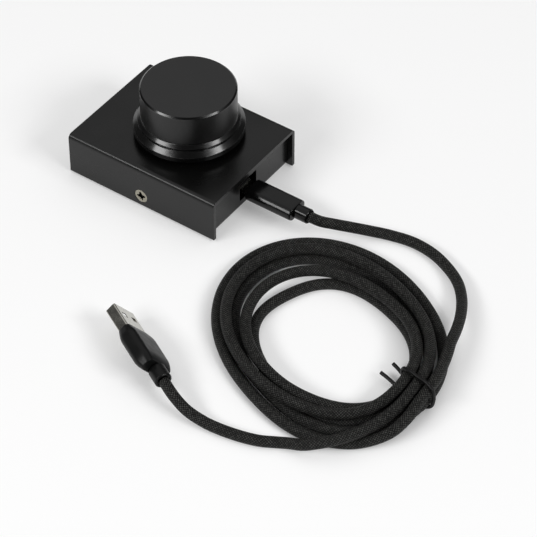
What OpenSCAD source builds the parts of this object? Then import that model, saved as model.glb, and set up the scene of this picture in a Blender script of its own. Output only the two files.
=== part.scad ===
// USB volume knob: a turned metal knob on a bent sheet-metal box, with its lead.
// Millimetres. The origin is under the middle of the box, on the table.
// +X runs along the box towards its socket, and +Z is up.

/* [Case] */
// Length of the box along X
case_l = 70; // [64:1:90]
// Width of the box along Y
case_w = 54; // [50:1:80]
// Height of the cover, without the feet
case_h = 18.4; // [17.4:0.1:24]
// Thickness of the sheet metal
sheet = 1.5; // [1:0.1:1.8]
// Outer radius of the bends
bend_r = 2; // [1.9:0.1:3]
// How far the end walls sit back from the cover's ends
end_recess = 2.3; // [0.5:0.1:4]
// Gap all round between cover and pan
case_gap = 0.1; // [0.05:0.05:0.3]
// Width of the screw tabs on the pan
tab_w = 14; // [10:1:24]
// Height of the screw tabs above the pan's underside
tab_h = 9.5; // [8:0.5:14]
// Height of the cover screws above the table
screw_z = 5.5; // [4.5:0.1:7]
// Diameter of the feet
foot_d = 8; // [6:0.5:12]
// Thickness of the feet
foot_t = 1; // [0.6:0.1:3]
// Distance of the feet from the pan's edges, to their centres
foot_inset = 6.5; // [5:0.5:12]

/* [Socket window] */
// Width of the window in the end wall
window_w = 11; // [9.5:0.1:14]
// Height of the window
window_h = 8.5; // [6:0.1:9]
// Height of the window's lower edge above the table
window_z = 5; // [4:0.1:6]
// Corner radius of the window
window_r = 0.6; // [0.2:0.1:1.5]
// Sideways place of the socket's centre
socket_y = -1.3; // [-3:0.1:3]

/* [Screws] */
// Head diameter of a cover screw
screw_head_d = 6; // [5:0.1:6.4]
// Thread diameter of a cover screw
screw_d = 3; // [2.5:0.1:3.5]
// Length of a cover screw with its head
screw_l = 6; // [5:0.5:9]
// Depth of the cross recess
cross_depth = 1; // [0.5:0.1:1.2]
// Span of the cross recess
cross_span = 3.4; // [2:0.1:3.8]
// Width of a cross arm
cross_w = 0.7; // [0.4:0.1:1]

/* [Knob] */
// Place of the knob's axis along X
knob_x = 2; // [-8:0.5:8]
// Place of the knob's axis along Y
knob_y = 2.5; // [-4:0.5:4]
// Gap between the box and the knob
knob_gap = 2.5; // [1.5:0.1:5]
// Diameter of the knob's foot
flange_d = 44; // [42:0.5:50]
// Height of the foot's straight edge
flange_h = 2.2; // [1:0.1:4]
// Diameter of the turned groove
groove_d = 39.4; // [38.4:0.2:39.8]
// Height of the turned groove
groove_h = 0.8; // [0.4:0.1:2]
// Diameter of the shoulders above and below the groove
shoulder_d = 40.4; // [40:0.2:41.4]
// Diameter of the polished wall
grip_d = 38; // [36:0.5:39.5]
// Height of the whole knob
knob_h = 19.9; // [18.9:0.1:30]
// Chamfer at the top edge
top_chamfer = 0.65; // [0.3:0.05:1.5]
// Diameter of the hollow under the knob
hollow_d = 30; // [22:0.5:33]
// Thickness of metal above the hollow
crown_t = 6; // [5:0.5:8]
// Diameter of the boss that holds the shaft
boss_d = 13; // [11:0.5:16]
// Height of the boss's lower end above the knob's foot
boss_lift = 4; // [3.6:0.1:6]
// Diameter of the set screw
grub_d = 3; // [2:0.5:4]
// Length of the set screw
grub_l = 3.2; // [2.4:0.1:3.4]
// Height of the set screw above the knob's foot
grub_z = 9.2; // [8:0.1:11]
// Key size of the set screw
grub_key = 1.5; // [0.9:0.1:1.6]

/* [Encoder] */
// Diameter of the shaft
shaft_d = 6; // [5.6:0.1:6.2]
// Length of the shaft above the cover's underside
shaft_l = 20; // [18:0.5:20.5]
// Distance of the shaft's flat from its axis
shaft_flat = 1.5; // [1.2:0.1:2]
// Length of the flat
flat_l = 10; // [8:0.5:12]
// Running clearance of the shaft, on the radius
run_gap = 0.05; // [0.02:0.01:0.08]
// Thread diameter of the bushing
bushing_d = 7; // [7:0.1:7.4]
// Length of the bushing above the cover's underside
bushing_l = 7; // [5.5:0.5:7.5]
// Clearance of the bushing in the cover and in its nut, on the radius
bushing_gap = 0.1; // [0.05:0.05:0.2]
// Outer diameter of the washer
washer_d = 11.5; // [10:0.5:13]
// Thickness of the washer
washer_t = 0.5; // [0.3:0.1:0.8]
// Size of the nut across its flats
nut_af = 10; // [9:0.5:12]
// Thickness of the nut
nut_t = 2; // [1.5:0.1:2.5]
// Size of the encoder along X
encoder_l = 12; // [11.6:0.1:13]
// Size of the encoder along Y
encoder_w = 11.7; // [11.4:0.1:13]
// Height of the encoder above the circuit board
encoder_h = 6.6; // [6.6:0.1:8]
// Thickness of the stamped frame
frame_t = 0.8; // [0.6:0.1:1]
// Width of the frame's legs
leg_w = 2.1; // [1.5:0.1:3]
// Diameter of the rotor
rotor_d = 8.8; // [8.4:0.1:9]
// Number of detents in a turn
detents = 24; // [12:4:32]
// Depth of a detent notch
notch_depth = 0.3; // [0.2:0.05:0.4]
// Width of a detent notch
notch_w = 0.5; // [0.3:0.05:0.6]
// Travel of the push switch
push_travel = 0.5; // [0.3:0.05:0.5]

/* [Circuit board] */
// Thickness of the circuit board
board_t = 1.6; // [1:0.1:1.8]
// End of the board towards -X
board_x0 = -14; // [-24:1:-10]
// Width of the board
board_w = 28; // [26:1:38]
// Side of the microcontroller's body
chip_w = 7; // [5:0.5:7]
// Thickness of the microcontroller
chip_t = 1; // [0.8:0.1:1.4]
// Length of the crystal can
crystal_l = 11; // [8:0.5:11]
// Width of the crystal can
crystal_w = 4.6; // [3.8:0.1:5]
// Height of the crystal can
crystal_h = 3.5; // [2.5:0.1:4]
// Length of a chip capacitor or resistor
chip_part_l = 2; // [1.6:0.1:2.2]
// Width of a chip capacitor or resistor
chip_part_w = 1.25; // [0.8:0.05:1.3]

/* [Device plug] */
// Width of the small socket's shell
socket_w = 7.5; // [7.3:0.1:8]
// Height of the small socket's shell
socket_h = 2.7; // [2.6:0.1:3]
// Length of the small socket's shell
socket_l = 5.4; // [5:0.1:6]
// Thickness of the socket's sheet
socket_t = 0.25; // [0.2:0.05:0.3]
// Width of the small plug's nose
nose_w = 6.85; // [6.6:0.05:6.9]
// Height of the small plug's nose
nose_h = 1.8; // [1.6:0.05:1.9]
// Length of the nose in front of the grip
nose_l = 6.7; // [6.2:0.1:7]
// Length of nose that stays outside the end wall
nose_show = 2.1; // [1.6:0.1:2.6]
// Width of the small plug's grip
grip_w = 10.4; // [9:0.1:12]
// Height of the small plug's grip
grip_h = 5.8; // [5:0.1:8]
// Length of the small plug's grip
grip_l = 21.2; // [15:0.1:26]
// Corner radius of the small plug's grip
grip_r = 2; // [1:0.1:2.4]
// Diameter of the small plug's strain relief
relief_d = 6; // [5:0.1:7]
// Length of the small plug's strain relief
relief_l = 6; // [4:0.5:12]

/* [Large plug] */
// Place of the large plug's grip along X
plug_x = 44; // [30:0.5:60]
// Place of the large plug's grip along Y
plug_y = -89.5; // [-110:0.5:-80]
// Heading of the large plug
plug_heading = -28.4; // [-60:0.1:0]
// Roll of the large plug about its length
plug_roll = -50; // [-70:1:-20]
// Width of the large plug's shell
shell_w = 12; // [12:0.05:12.1]
// Height of the large plug's shell
shell_h = 4.5; // [4.4:0.05:4.6]
// Length of shell in front of the grip
shell_l = 12; // [11.75:0.05:12.5]
// Thickness of the shell's sheet
shell_t = 0.3; // [0.2:0.05:0.35]
// Side of the square holes in the shell
hole_w = 2.3; // [1.8:0.1:2.6]
// Distance of the square holes from the shell's front edge
hole_back = 5.2; // [4:0.1:6.5]
// Distance between the two square holes
hole_pitch = 5.6; // [4.6:0.1:6]
// Width of the large plug's grip
block_w = 15.5; // [14.5:0.1:17]
// Thickness of the large plug's grip
block_t = 7.2; // [6.6:0.1:9]
// Length of the large plug's grip
block_l = 20.5; // [16:0.1:30]
// Corner radius of the large plug's grip
block_r = 2.4; // [1:0.1:3]
// Draw-in of the grip at its two ends
block_taper = 1; // [0.5:0.1:1.2]
// Diameter of the large plug's strain relief
collar_d = 6.6; // [5.5:0.1:7]
// Length of the large plug's strain relief
collar_l = 6.5; // [5:0.1:12]

/* [Cord] */
// Diameter of the braided cord
cord_d = 4; // [3.6:0.1:4]
// Long width of the coil's outer oval
coil_long = 105; // [104:0.5:108]
// Short width of the coil's outer oval
coil_short = 86; // [85:0.5:88]
// Heading of the coil's long width
coil_heading = 145; // [140:1:150]
// Distance of the band's middle in from the oval
band_in = 11; // [10.8:0.1:11.4]
// How much further out the band lies at its tied side
tied_out = 5.6; // [5:0.1:5.6]
// Half width of the band where it is narrowest
half_least = 5; // [5:0.1:5.2]
// How much wider half the band is at its loose side
half_swell = 3.9; // [3:0.1:4]
// Height between the two layers of turns
layer_step = 4.5; // [4.5:0.1:4.8]
// Slack of the outermost turn on the near side
slack_near = 5; // [4:0.1:5.2]
// Slack of the innermost turn on the box's side
slack_inner = 7.4; // [5:0.1:8]
// Slack of the upper layer's inner turn on the box's side
slack_upper = 3.8; // [2:0.1:4]
// Thickness of the wire tie
tie_d = 1.4; // [1:0.1:1.4]

/* [Hidden] */
$fn = 48;
// Overshoot of a cutter past the face it opens
cut = 1;

// Heights, from the table up
pan_z = foot_t;
cover_top = foot_t + case_h;
deck_z = cover_top - sheet;
knob_z = cover_top + knob_gap;
board_top = deck_z - encoder_h;
board_z = board_top - board_t;
socket_z = board_z - socket_h / 2;

// Plan sizes of the case
wall_x = case_l / 2 - end_recess;
wall_in = wall_x - sheet;
pan_w = case_w - 2 * sheet - 2 * case_gap;
pan_h = case_h - sheet - 2 * case_gap;
foot_x = wall_x - foot_inset;
foot_y = pan_w / 2 - foot_inset;

// Cover screws: a 90 degree head as deep as the sheet
head_depth = (screw_head_d - screw_d) / 2;
screw_gap = 0.05;
tab_r = 2;

// Knob, measured upwards from its foot
flare_low = (flange_d - shoulder_d) / 2;
flare_high = (shoulder_d - grip_d) / 2;
shoulder_h = 0.2;
groove_z = flange_h + flare_low + shoulder_h;
wall_z = groove_z + groove_h + shoulder_h + flare_high;
hollow_h = knob_h - crown_t;
shaft_top = deck_z + shaft_l;
bore_slack = 0.3;
flat_foot = shaft_top - flat_l - knob_z + bore_slack;
grub_gap = 0.04;

// Encoder, from the board up
spindle_d = 5;
spindle_flat = 1.8;
frame_under = deck_z - frame_t;
body_wall = 1.2;
dome_rise = 0.4;
dome_seat = board_top + dome_rise;
dome_h = 0.7;
dome_t = 0.1;
dome_d = 4.2;
well_gap = 0.2;
well_d = dome_d + 2 * well_gap;
track_rise = 1.9;
track_z = board_top + track_rise;
track_t = 0.15;
track_gap = 0.25;
wiper_t = 0.2;
wiper_gap = 0.1;
wiper_z = track_z + track_t + wiper_gap;
wiper_rise = 0.45;
wiper_margin = 0.3;
finger_d = 0.6;
finger_r = 3.6;
rotor_z = wiper_z + wiper_rise;
spring_t = 0.2;
spring_under = frame_under - spring_t;
spring_gap = 0.15;
crest_z = spring_under - spring_gap;
crest_w = 0.75;
ring_h = 0.4;
ring_gap = 0.15;
ring_z = frame_under - ring_gap - ring_h;
ring_d = 6.6;
ring_groove_d = 4.2;
hub_z = ring_z - push_travel - ring_gap;
spindle_below = 0.1;
spindle_end = rotor_z - spindle_below;
plunger_gap = 0.05;
plunger_z = dome_seat + dome_h + plunger_gap;
plunger_top = spindle_end - plunger_gap;
plunger_d = 2.4;
leg_gap = 0.05;
leg_below = 0.9;
pin_w = 0.8;
pin_t = 0.4;
pin_below = 1.2;
pin_pitch = 2.5;
switch_pitch = 5;
pin_out = 1.3;
pin_rise = 1;
pin_hole_gap = 0.1;

// Circuit board
board_gap = 0.8;
board_end = wall_in - board_gap;
board_r = 1.5;
board_shift = 1.5;
board_y = knob_y - board_shift;
chip_clear = 9;
chip_shift = 4.5;
chip_x = knob_x + encoder_l / 2 + chip_clear;
chip_y = knob_y + chip_shift;
chip_corner = 0.2;
crystal_clear = 6;
crystal_x = chip_x;
crystal_y = chip_y - chip_w / 2 - crystal_clear;
crystal_flange = 0.4;
crystal_r = 1.8;
chip_lead_w = 0.3;
chip_lead_t = 0.2;
chip_lead_l = 1;
chip_lead_pitch = 0.8;
chip_leads = 8;
chip_lead_in = 0.4;

// Chip capacitors and resistors, in rows near the board's two ends
row_pitch = 3.4;
front_row_in = 2.4;
back_row_in = 3;
back_row_step = 3;
back_row_shift = 8;
capacitor_shift = 4;
resistor_shift = 10;
front_row_x = board_end - front_row_in;
back_row_x = board_x0 + back_row_in;
back_row_y = board_y - back_row_shift;
capacitor_row_y = board_y + capacitor_shift;
resistor_row_y = board_y - resistor_shift;
capacitor_h = 0.85;
resistor_h = 0.5;

// Small socket and plug
socket_gap = 0.3;
socket_end = wall_in - socket_gap;
tongue_w = 3.7;
tongue_t = 0.5;
tongue_l = 3.2;
plug_face = wall_x + nose_show;
nose_tip = plug_face - nose_l;
nose_t = 0.25;
nose_hollow = 4.4;
insert_t = 0.45;
insert_back = 0.2;
nose_chamfer = 0.6;
grip_end = plug_face + grip_l;
relief_end = grip_end + relief_l;
collar_edge = 0.4;

// Large plug, on its own X axis, which runs from the shell to the cord
block_round = min(block_r, block_t / 2 - 0.1);
lean = abs(plug_roll);
plug_z = (block_w / 2 - block_round) * sin(lean) + (block_t / 2 - block_round) * cos(lean)
    + block_round;
a_tongue_t = 1.9;
a_tongue_back = 0.3;
a_tongue_gap = 0.15;
shell_r = 0.6;
contact_w = 1;
contact_t = 0.2;
contact_pitches = [-3.5, -1, 1, 3.5];
contact_lengths = [8.4, 7.4, 7.4, 8.4];
contact_back = 1.2;
plug_axis = [cos(plug_heading), sin(plug_heading), 0];
cord_start_a = [plug_x, plug_y, plug_z] + (block_l + collar_l) * plug_axis;
cord_start_device = [relief_end, socket_y, socket_z];

// Cord
cord_r = cord_d / 2;
cord_sides = 8;
coil_sides = 6;
coil_x = 99;
coil_y = -45.5;
rings_a_turn = 24;
coil_from = 0.15;
coil_to = 4.95;
low_turns = 3;
tied_spread = 0.18;
swell_at = 130;
jog = [0.11, 0.27];
jump = [0.02, 0.14];
climb = [3.05, 3.2];
up_first = 0.95;
up_step = 0.48;
up_outward = 0.22;
outward_at = [0.4, 0.16];
near_at = [0.145, 0.08];
inner_at = [2.575, 0.105];
upper_at = [3.58, 0.15];
tie_lift = 1.8;
quarter_turn = 7;

function unit(v) = v / norm(v);
function smooth_step(t) = let (k = min(1, max(0, t))) k * k * (3 - 2 * k);
function bump(t) = exp(-t * t);

// Rounded rectangle with true arcs, centred
module round_rect(w, h, r) {
    square([w - 2 * r, h], center = true);
    square([w, h - 2 * r], center = true);
    for (sx = [-1, 1], sy = [-1, 1])
        translate([sx * (w / 2 - r), sy * (h / 2 - r)])
            circle(r);
}

// Outline that stands on the x axis, with its two upper corners rounded
module arch(w, h, r) {
    translate([-w / 2, 0])
        square([w, h - r]);
    translate([r - w / 2, 0])
        square([w - 2 * r, h]);
    for (sx = [-1, 1])
        translate([sx * (w / 2 - r), h - r])
            circle(r);
}

// Section of a sheet bent into a channel that opens downwards
module channel(w, h, t, r) {
    difference() {
        arch(w, h, r);
        translate([0, -cut])
            arch(w - 2 * t, h - t + cut, max(0.1, r - t));
    }
}

module ring(d_out, d_in, h) {
    difference() {
        cylinder(d = d_out, h = h);
        translate([0, 0, -cut])
            cylinder(d = d_in, h = h + 2 * cut);
    }
}

// Cylinder with a flat on its +Y side, flat measured from the axis
module flatted_rod(r, flat, h) {
    difference() {
        cylinder(r = r, h = h);
        translate([-r - cut, flat, -cut])
            cube([2 * (r + cut), r + cut, h + 2 * cut]);
    }
}

module at_knob(z) {
    translate([knob_x, knob_y, z])
        children();
}

module at_large_plug() {
    translate([plug_x, plug_y, plug_z])
        rotate([0, 0, plug_heading])
            rotate([plug_roll, 0, 0])
                children();
}

// Box centred on Y and Z that runs from x0 to x1
module bar_x(x0, x1, w, h) {
    translate([x0, -w / 2, -h / 2])
        cube([x1 - x0, w, h]);
}

// Extrudes an outline drawn in Y and Z from x0 to x1
module slab_x(x0, x1) {
    translate([x0, 0, 0])
        rotate([90, 0, 90])
            linear_extrude(x1 - x0)
                children();
}

// Tube through points: one ring a point, side vectors level unless given
function path_dirs(p, first, last) = [for (i = [0:len(p) - 1])
    i == 0 ? unit(first) : i == len(p) - 1 ? unit(last)
    : unit(unit(p[i + 1] - p[i]) + unit(p[i] - p[i - 1]))];
function ring_points(c, dir, side, r, sides, turn) = let (
    a = unit(side - (side * dir) * dir), b = cross(dir, a))
    [for (k = [0:sides - 1]) let (q = turn + 360 * k / sides) c + r * (cos(q) * a + sin(q) * b)];

module tube(p, dirs, sides_at, r, sides, turn = 0) {
    n = len(p);
    points = [for (i = [0:n - 1]) each ring_points(p[i], dirs[i], sides_at[i], r, sides, turn)];
    skin = [for (i = [0:n - 2], k = [0:sides - 1]) let (
        a = i * sides + k, b = i * sides + (k + 1) % sides, c = a + sides, d = b + sides)
        each [[a, b, d], [a, d, c]]];
    caps = concat([for (k = [1:sides - 2]) [0, k + 1, k]],
        [for (k = [1:sides - 2]) [(n - 1) * sides, (n - 1) * sides + k, (n - 1) * sides + k + 1]]);
    polyhedron(points = points, faces = [for (f = concat(skin, caps)) [f[0], f[2], f[1]]]);
}

function level_side(dir) = unit(cross([0, 0, 1], dir));

module level_tube(p, first, last, r, sides, turn = 0) {
    dirs = path_dirs(p, first, last);
    tube(p, dirs, [for (d = dirs) level_side(d)], r, sides, turn);
}

// Coil: u counts turns, clockwise from +X, and place runs from the outermost
// turn, 0, to the innermost, 1. Three turns wind in on the floor, then the cord
// climbs and two turns wind out on top of them. A turn keeps its place in the
// band and steps to the next one beside the tie.
function oval(a) = let (l = coil_long / 2, s = coil_short / 2, q = a - coil_heading)
    l * s / sqrt(pow(s * cos(q), 2) + pow(l * sin(q), 2));
function beside(a, inward, z) = let (r = oval(a) - inward)
    [coil_x + r * cos(a), coil_y + r * sin(a), z];
function part_turn(u) = u - floor(u);
function to_tie(u) = min(part_turn(u), 1 - part_turn(u));
function band_mid(u) = band_in - tied_out * bump(to_tie(u) / tied_spread);
function band_half(a) = half_least + half_swell * pow((1 + cos(a - swell_at)) / 2, 2);
function steps(u, span) = floor(u) + smooth_step((part_turn(u) - span[0]) / (span[1] - span[0]));
function at(u, hump) = bump((u - hump[0]) / hump[1]);
function share(v) = min(1, max(0, v));
function low_place(u) = share((steps(u, jog) - 1) / (low_turns - 1));
function up_place(u) = up_first - up_step * share(steps(u, jump) - low_turns - 1)
    - up_outward * at(part_turn(u), outward_at);
function coil_point(u) = let (
    a = -360 * u,
    up = smooth_step((u - climb[0]) / (climb[1] - climb[0])),
    place = low_place(u) * (1 - up) + up_place(u) * up,
    slack = slack_inner * at(u, inner_at) + slack_upper * at(u, upper_at)
        - slack_near * at(u, near_at))
    beside(a, band_mid(u) + band_half(a) * (2 * place - 1) + slack,
        cord_r + layer_step * up + tie_lift * pow(max(0, cos(a)), 4));
coil_steps = (coil_to - coil_from) * rings_a_turn;
coil_loop = [for (i = [0:coil_steps]) coil_point(coil_from + i / rings_a_turn)];
coil_last = len(coil_loop) - 1;
coil_in = unit(coil_point(coil_from + 0.01) - coil_point(coil_from));
coil_out = unit(coil_point(coil_to) - coil_point(coil_to - 0.01));
coil_enter = coil_loop[0] - cord_d * coil_in;
coil_leave = coil_loop[coil_last] + cord_d * coil_out;
coil_path = concat([coil_enter], coil_loop, [coil_leave]);

// Least gap of the coil to itself, between points more than a quarter turn apart
coil_gap = min([for (i = [0:coil_last - quarter_turn])
    min([for (j = [i + quarter_turn:coil_last]) norm(coil_loop[i] - coil_loop[j])])]) - cord_d;
echo(coil_gap_mm = coil_gap);

// Free stretches: points chosen by hand, those near the coil as angle, distance
// in from the oval, height
lead_points = concat([[66, -1, 8.2], [71, 1.6, 7.3], [76, 5.2, 5.7], [82, 9.4, 3.8],
    [89, 13.2, 2.4], [98, 15.2, 2], [108, 14.4, 2], [117, 11, 2.2], [124.5, 6, 2.9],
    [131, -1.4, 4], [136, -10, 5.4]],
    [beside(32, -4.2, 7), beside(24, -2, 7.9), beside(16, -1, 8.2), beside(8, -0.3, 8.35),
    beside(0, 0, 8.4), beside(352, 0.1, 8.4), beside(345, -0.5, 8), beside(338, -2.1, 6.8),
    beside(330, -3.4, 4.9), beside(322, -3, 3), beside(316, -2.7, 2.3)]);
tail_points = concat([beside(6, 5.1, 8.3), beside(358, 5.15, 8.3), beside(350, 5, 8.2),
    beside(342, 4.2, 8), beside(335, 2.9, 7.7), beside(328, 1.2, 7.5), beside(322, -0.6, 7.4),
    beside(315, -2.9, 7.2), beside(308, -5.2, 6.9), beside(302, -6.6, 5.8),
    beside(297, -7.2, 4.2)], [[119.5, -97.4, 2.6], [109, -102.6, 2], [98, -105.4, 2],
    [88.5, -106.4, 2.4], [80.5, -106.6, 4.2], [75, -105.6, 6.2]]);
tie_points = [beside(358.5, 21, 3.2), beside(357.5, 17.5, 5), beside(356.5, 15, 7.6),
    beside(355.5, 13.2, 10.4), beside(354.5, 10.3, 11.6), beside(353.5, 5, 11.6),
    beside(352.5, 0, 11.8), beside(352, -2.6, 10.4), beside(352, -3.6, 7.6),
    beside(352, -3.2, 4), beside(352, -2.3, 1.6), beside(351.8, -0.6, 0.72),
    beside(351.5, 5.5, 0.72), beside(351, 10.5, 0.72), beside(350.7, 13.5, 1.1),
    beside(350.4, 15.2, 3.2), beside(350, 17.5, 4.6), beside(349.5, 21, 4)];

module top_cover() {
    color("#2c2c2a")
        difference() {
            slab_x(-case_l / 2, case_l / 2)
                translate([0, pan_z])
                    channel(case_w, case_h, sheet, bend_r);
            at_knob(deck_z - cut)
                cylinder(d = bushing_d + 2 * bushing_gap, h = sheet + 2 * cut);
            for (side = [-1, 1])
                screw_hole(side);
        }
}

// Through hole and 90 degree countersink of one cover screw
module screw_hole(side) {
    translate([0, side * (case_w / 2 + cut), screw_z])
        rotate([side * 90, 0, 0]) {
            cylinder(d = screw_d + 2 * screw_gap, h = sheet + 2 * cut);
            cylinder(d1 = screw_head_d + 2 * screw_gap + 2 * cut, d2 = screw_d + 2 * screw_gap,
                h = head_depth + cut);
        }
}

module base_pan() {
    color("#3a3a38")
        difference() {
            union() {
                rotate([90, 0, 0])
                    linear_extrude(pan_w, center = true)
                        translate([0, pan_z + pan_h])
                            mirror([0, 1])
                                channel(2 * wall_x, pan_h, sheet, bend_r);
                for (side = [-1, 1])
                    translate([0, side * (pan_w - sheet) / 2, pan_z])
                        rotate([90, 0, 0])
                            linear_extrude(sheet, center = true)
                                arch(tab_w, tab_h, tab_r);
            }
            for (side = [-1, 1])
                translate([0, side * (pan_w / 2 + cut), screw_z])
                    rotate([side * 90, 0, 0])
                        cylinder(d = screw_d + 2 * screw_gap, h = sheet + 2 * cut);
            slab_x(wall_in - cut, wall_x + cut)
                translate([socket_y, window_z + window_h / 2])
                    round_rect(window_w, window_h, window_r);
        }
}

module cover_screws() {
    color("#b9bab8")
        for (side = [-1, 1])
            translate([0, side * case_w / 2, screw_z])
                rotate([side * 90, 0, 0])
                    difference() {
                        union() {
                            cylinder(d = screw_d, h = screw_l);
                            cylinder(d1 = screw_head_d, d2 = screw_d, h = head_depth);
                        }
                        for (turn = [45, 135])
                            rotate([0, 0, turn])
                                cube([cross_span, cross_w, 2 * cross_depth], center = true);
                    }
}

module rubber_feet() {
    color("#1c1c1c")
        for (sx = [-1, 1], sy = [-1, 1])
            translate([sx * foot_x, sy * foot_y, 0])
                cylinder(d = foot_d, h = foot_t);
}

// Profile of the knob from its axis outwards, drawn from the foot up
module knob_profile() {
    polygon([
        [0, 0],
        [flange_d / 2, 0],
        [flange_d / 2, flange_h],
        [shoulder_d / 2, flange_h + flare_low],
        [shoulder_d / 2, groove_z],
        [groove_d / 2, groove_z],
        [groove_d / 2, groove_z + groove_h],
        [shoulder_d / 2, groove_z + groove_h],
        [shoulder_d / 2, groove_z + groove_h + shoulder_h],
        [grip_d / 2, wall_z],
        [grip_d / 2, knob_h - top_chamfer],
        [grip_d / 2 - top_chamfer, knob_h],
        [0, knob_h]
    ]);
}

module knob() {
    color("#1d1e1e")
        at_knob(knob_z)
            difference() {
                rotate_extrude()
                    knob_profile();
                difference() {
                    translate([0, 0, -cut])
                        cylinder(d = hollow_d, h = hollow_h + cut);
                    translate([0, 0, boss_lift])
                        cylinder(d = boss_d, h = hollow_h);
                }
                translate([0, 0, boss_lift - cut])
                    cylinder(r = shaft_d / 2 + run_gap, h = flat_foot - boss_lift + cut);
                translate([0, 0, flat_foot - cut])
                    flatted_rod(shaft_d / 2 + run_gap, shaft_flat + run_gap,
                        shaft_top + bore_slack - knob_z - flat_foot + cut);
                translate([0, 0, grub_z])
                    rotate([-90, 0, 0])
                        cylinder(d = grub_d + 2 * grub_gap, h = flange_d / 2 + cut);
            }
}

module knob_set_screw() {
    color("#3f4142")
        at_knob(knob_z + grub_z)
            rotate([-90, 0, 0])
                translate([0, 0, shaft_flat + run_gap])
                    difference() {
                        cylinder(d = grub_d, h = grub_l);
                        translate([0, 0, grub_l / 2])
                            cylinder(d = grub_key / cos(30), h = grub_l, $fn = 6);
                    }
}

module encoder_shaft() {
    color("#c3c5c6")
        at_knob(0)
            difference() {
                union() {
                    translate([0, 0, spindle_end])
                        flatted_rod(spindle_d / 2, spindle_flat, frame_under - spindle_end);
                    translate([0, 0, frame_under])
                        cylinder(d = shaft_d, h = shaft_top - flat_l - frame_under);
                    translate([0, 0, shaft_top - flat_l])
                        flatted_rod(shaft_d / 2, shaft_flat, flat_l);
                }
                translate([0, 0, ring_z])
                    ring(shaft_d, ring_groove_d, ring_h);
            }
}

// Open ring in the shaft's groove
module shaft_retaining_ring() {
    color("#9a9c9d")
        at_knob(ring_z)
            difference() {
                ring(ring_d, ring_groove_d, ring_h);
                translate([0, -ring_groove_d / 4, -cut])
                    cube([ring_d, ring_groove_d / 2, ring_h + 2 * cut]);
            }
}

// Rotor: a flatted bore for the spindle and a crown of detent notches
module encoder_rotor() {
    color("#e4e0d4")
        at_knob(rotor_z)
            difference() {
                cylinder(d = rotor_d, h = crest_z - rotor_z);
                translate([0, 0, hub_z - rotor_z])
                    cylinder(d = rotor_d - 2 * crest_w, h = crest_z);
                translate([0, 0, -cut])
                    flatted_rod(spindle_d / 2 + run_gap, spindle_flat + run_gap, crest_z);
                for (i = [0:detents - 1])
                    rotate([0, 0, i * 360 / detents])
                        translate([rotor_d / 2 - crest_w - cut, -notch_w / 2,
                            crest_z - notch_depth - rotor_z])
                            cube([crest_w + 2 * cut, notch_w, notch_depth + cut]);
            }
}

// Spring contact under the rotor: a ring whose three fingers reach down
module encoder_wiper() {
    color("#c9a860")
        at_knob(0) {
            translate([0, 0, rotor_z - wiper_t])
                ring(rotor_d - 2 * wiper_margin, spindle_d + 2 * wiper_margin, wiper_t);
            for (turn = [0, 120, 240])
                rotate([0, 0, turn])
                    translate([finger_r, 0, wiper_z])
                        cylinder(d = finger_d, h = wiper_rise - wiper_t / 2);
        }
}

module encoder_bushing() {
    color("#b4b6b5")
        at_knob(frame_under)
            ring(bushing_d, shaft_d + 2 * run_gap, bushing_l + frame_t);
}

module bushing_washer() {
    color("#b4b6b5")
        at_knob(cover_top)
            ring(washer_d, bushing_d + 2 * bushing_gap, washer_t);
}

module bushing_nut() {
    color("#b4b6b5")
        at_knob(cover_top + washer_t)
            difference() {
                cylinder(d = nut_af / cos(30), h = nut_t, $fn = 6);
                translate([0, 0, -cut])
                    cylinder(d = bushing_d + 2 * run_gap, h = nut_t + 2 * cut);
            }
}

// Stamped frame: a plate over the housing and two legs through the board
module encoder_frame() {
    leg_x = encoder_l / 2 + leg_gap;
    color("#c8cac8")
        at_knob(0)
            difference() {
                union() {
                    translate([-leg_x - frame_t, -encoder_w / 2, frame_under])
                        cube([2 * (leg_x + frame_t), encoder_w, frame_t]);
                    for (side = [-1, 1])
                        translate([side * (leg_x + frame_t / 2) - frame_t / 2, -leg_w / 2,
                            board_z - leg_below])
                            cube([frame_t, leg_w, frame_under - board_z + leg_below]);
                }
                translate([0, 0, frame_under - cut])
                    cylinder(d = bushing_d + 2 * run_gap, h = frame_t + 2 * cut);
            }
}

module encoder_body() {
    color("#26282a")
        at_knob(0)
            difference() {
                translate([-encoder_l / 2, -encoder_w / 2, board_top])
                    cube([encoder_l, encoder_w, frame_under - board_top]);
                translate([0, 0, track_z])
                    cylinder(d = rotor_d + 2 * well_gap, h = encoder_h);
                translate([0, 0, dome_seat])
                    cylinder(d = well_d, h = encoder_h);
                pin_slots(pin_w + 2 * leg_gap, pin_t + 2 * leg_gap);
            }
}

// Places of the three rotary pins at the front and the two switch pins behind
module at_pins() {
    for (i = [-1:1])
        translate([i * pin_pitch, -encoder_w / 2 - pin_out, 0])
            children();
    for (i = [-1, 1])
        translate([i * switch_pitch / 2, encoder_w / 2 + pin_out, 0])
            rotate([0, 0, 180])
                children();
}

module pin_slots(w, t) {
    at_pins()
        translate([-w / 2, 0, board_top + pin_rise - (t - pin_t) / 2])
            cube([w, pin_out + body_wall, t]);
}

module encoder_terminals() {
    color("#d6d8d6")
        at_knob(0)
            at_pins() {
                translate([-pin_w / 2, -pin_t / 2, board_z - pin_below])
                    cube([pin_w, pin_t, board_t + pin_below + pin_rise + pin_t]);
                translate([-pin_w / 2, -pin_t / 2, board_top + pin_rise])
                    cube([pin_w, pin_out + body_wall, pin_t]);
            }
}

module encoder_track() {
    color("#c9a860")
        at_knob(track_z)
            ring(rotor_d, spindle_d + 2 * track_gap, track_t);
}

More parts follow.
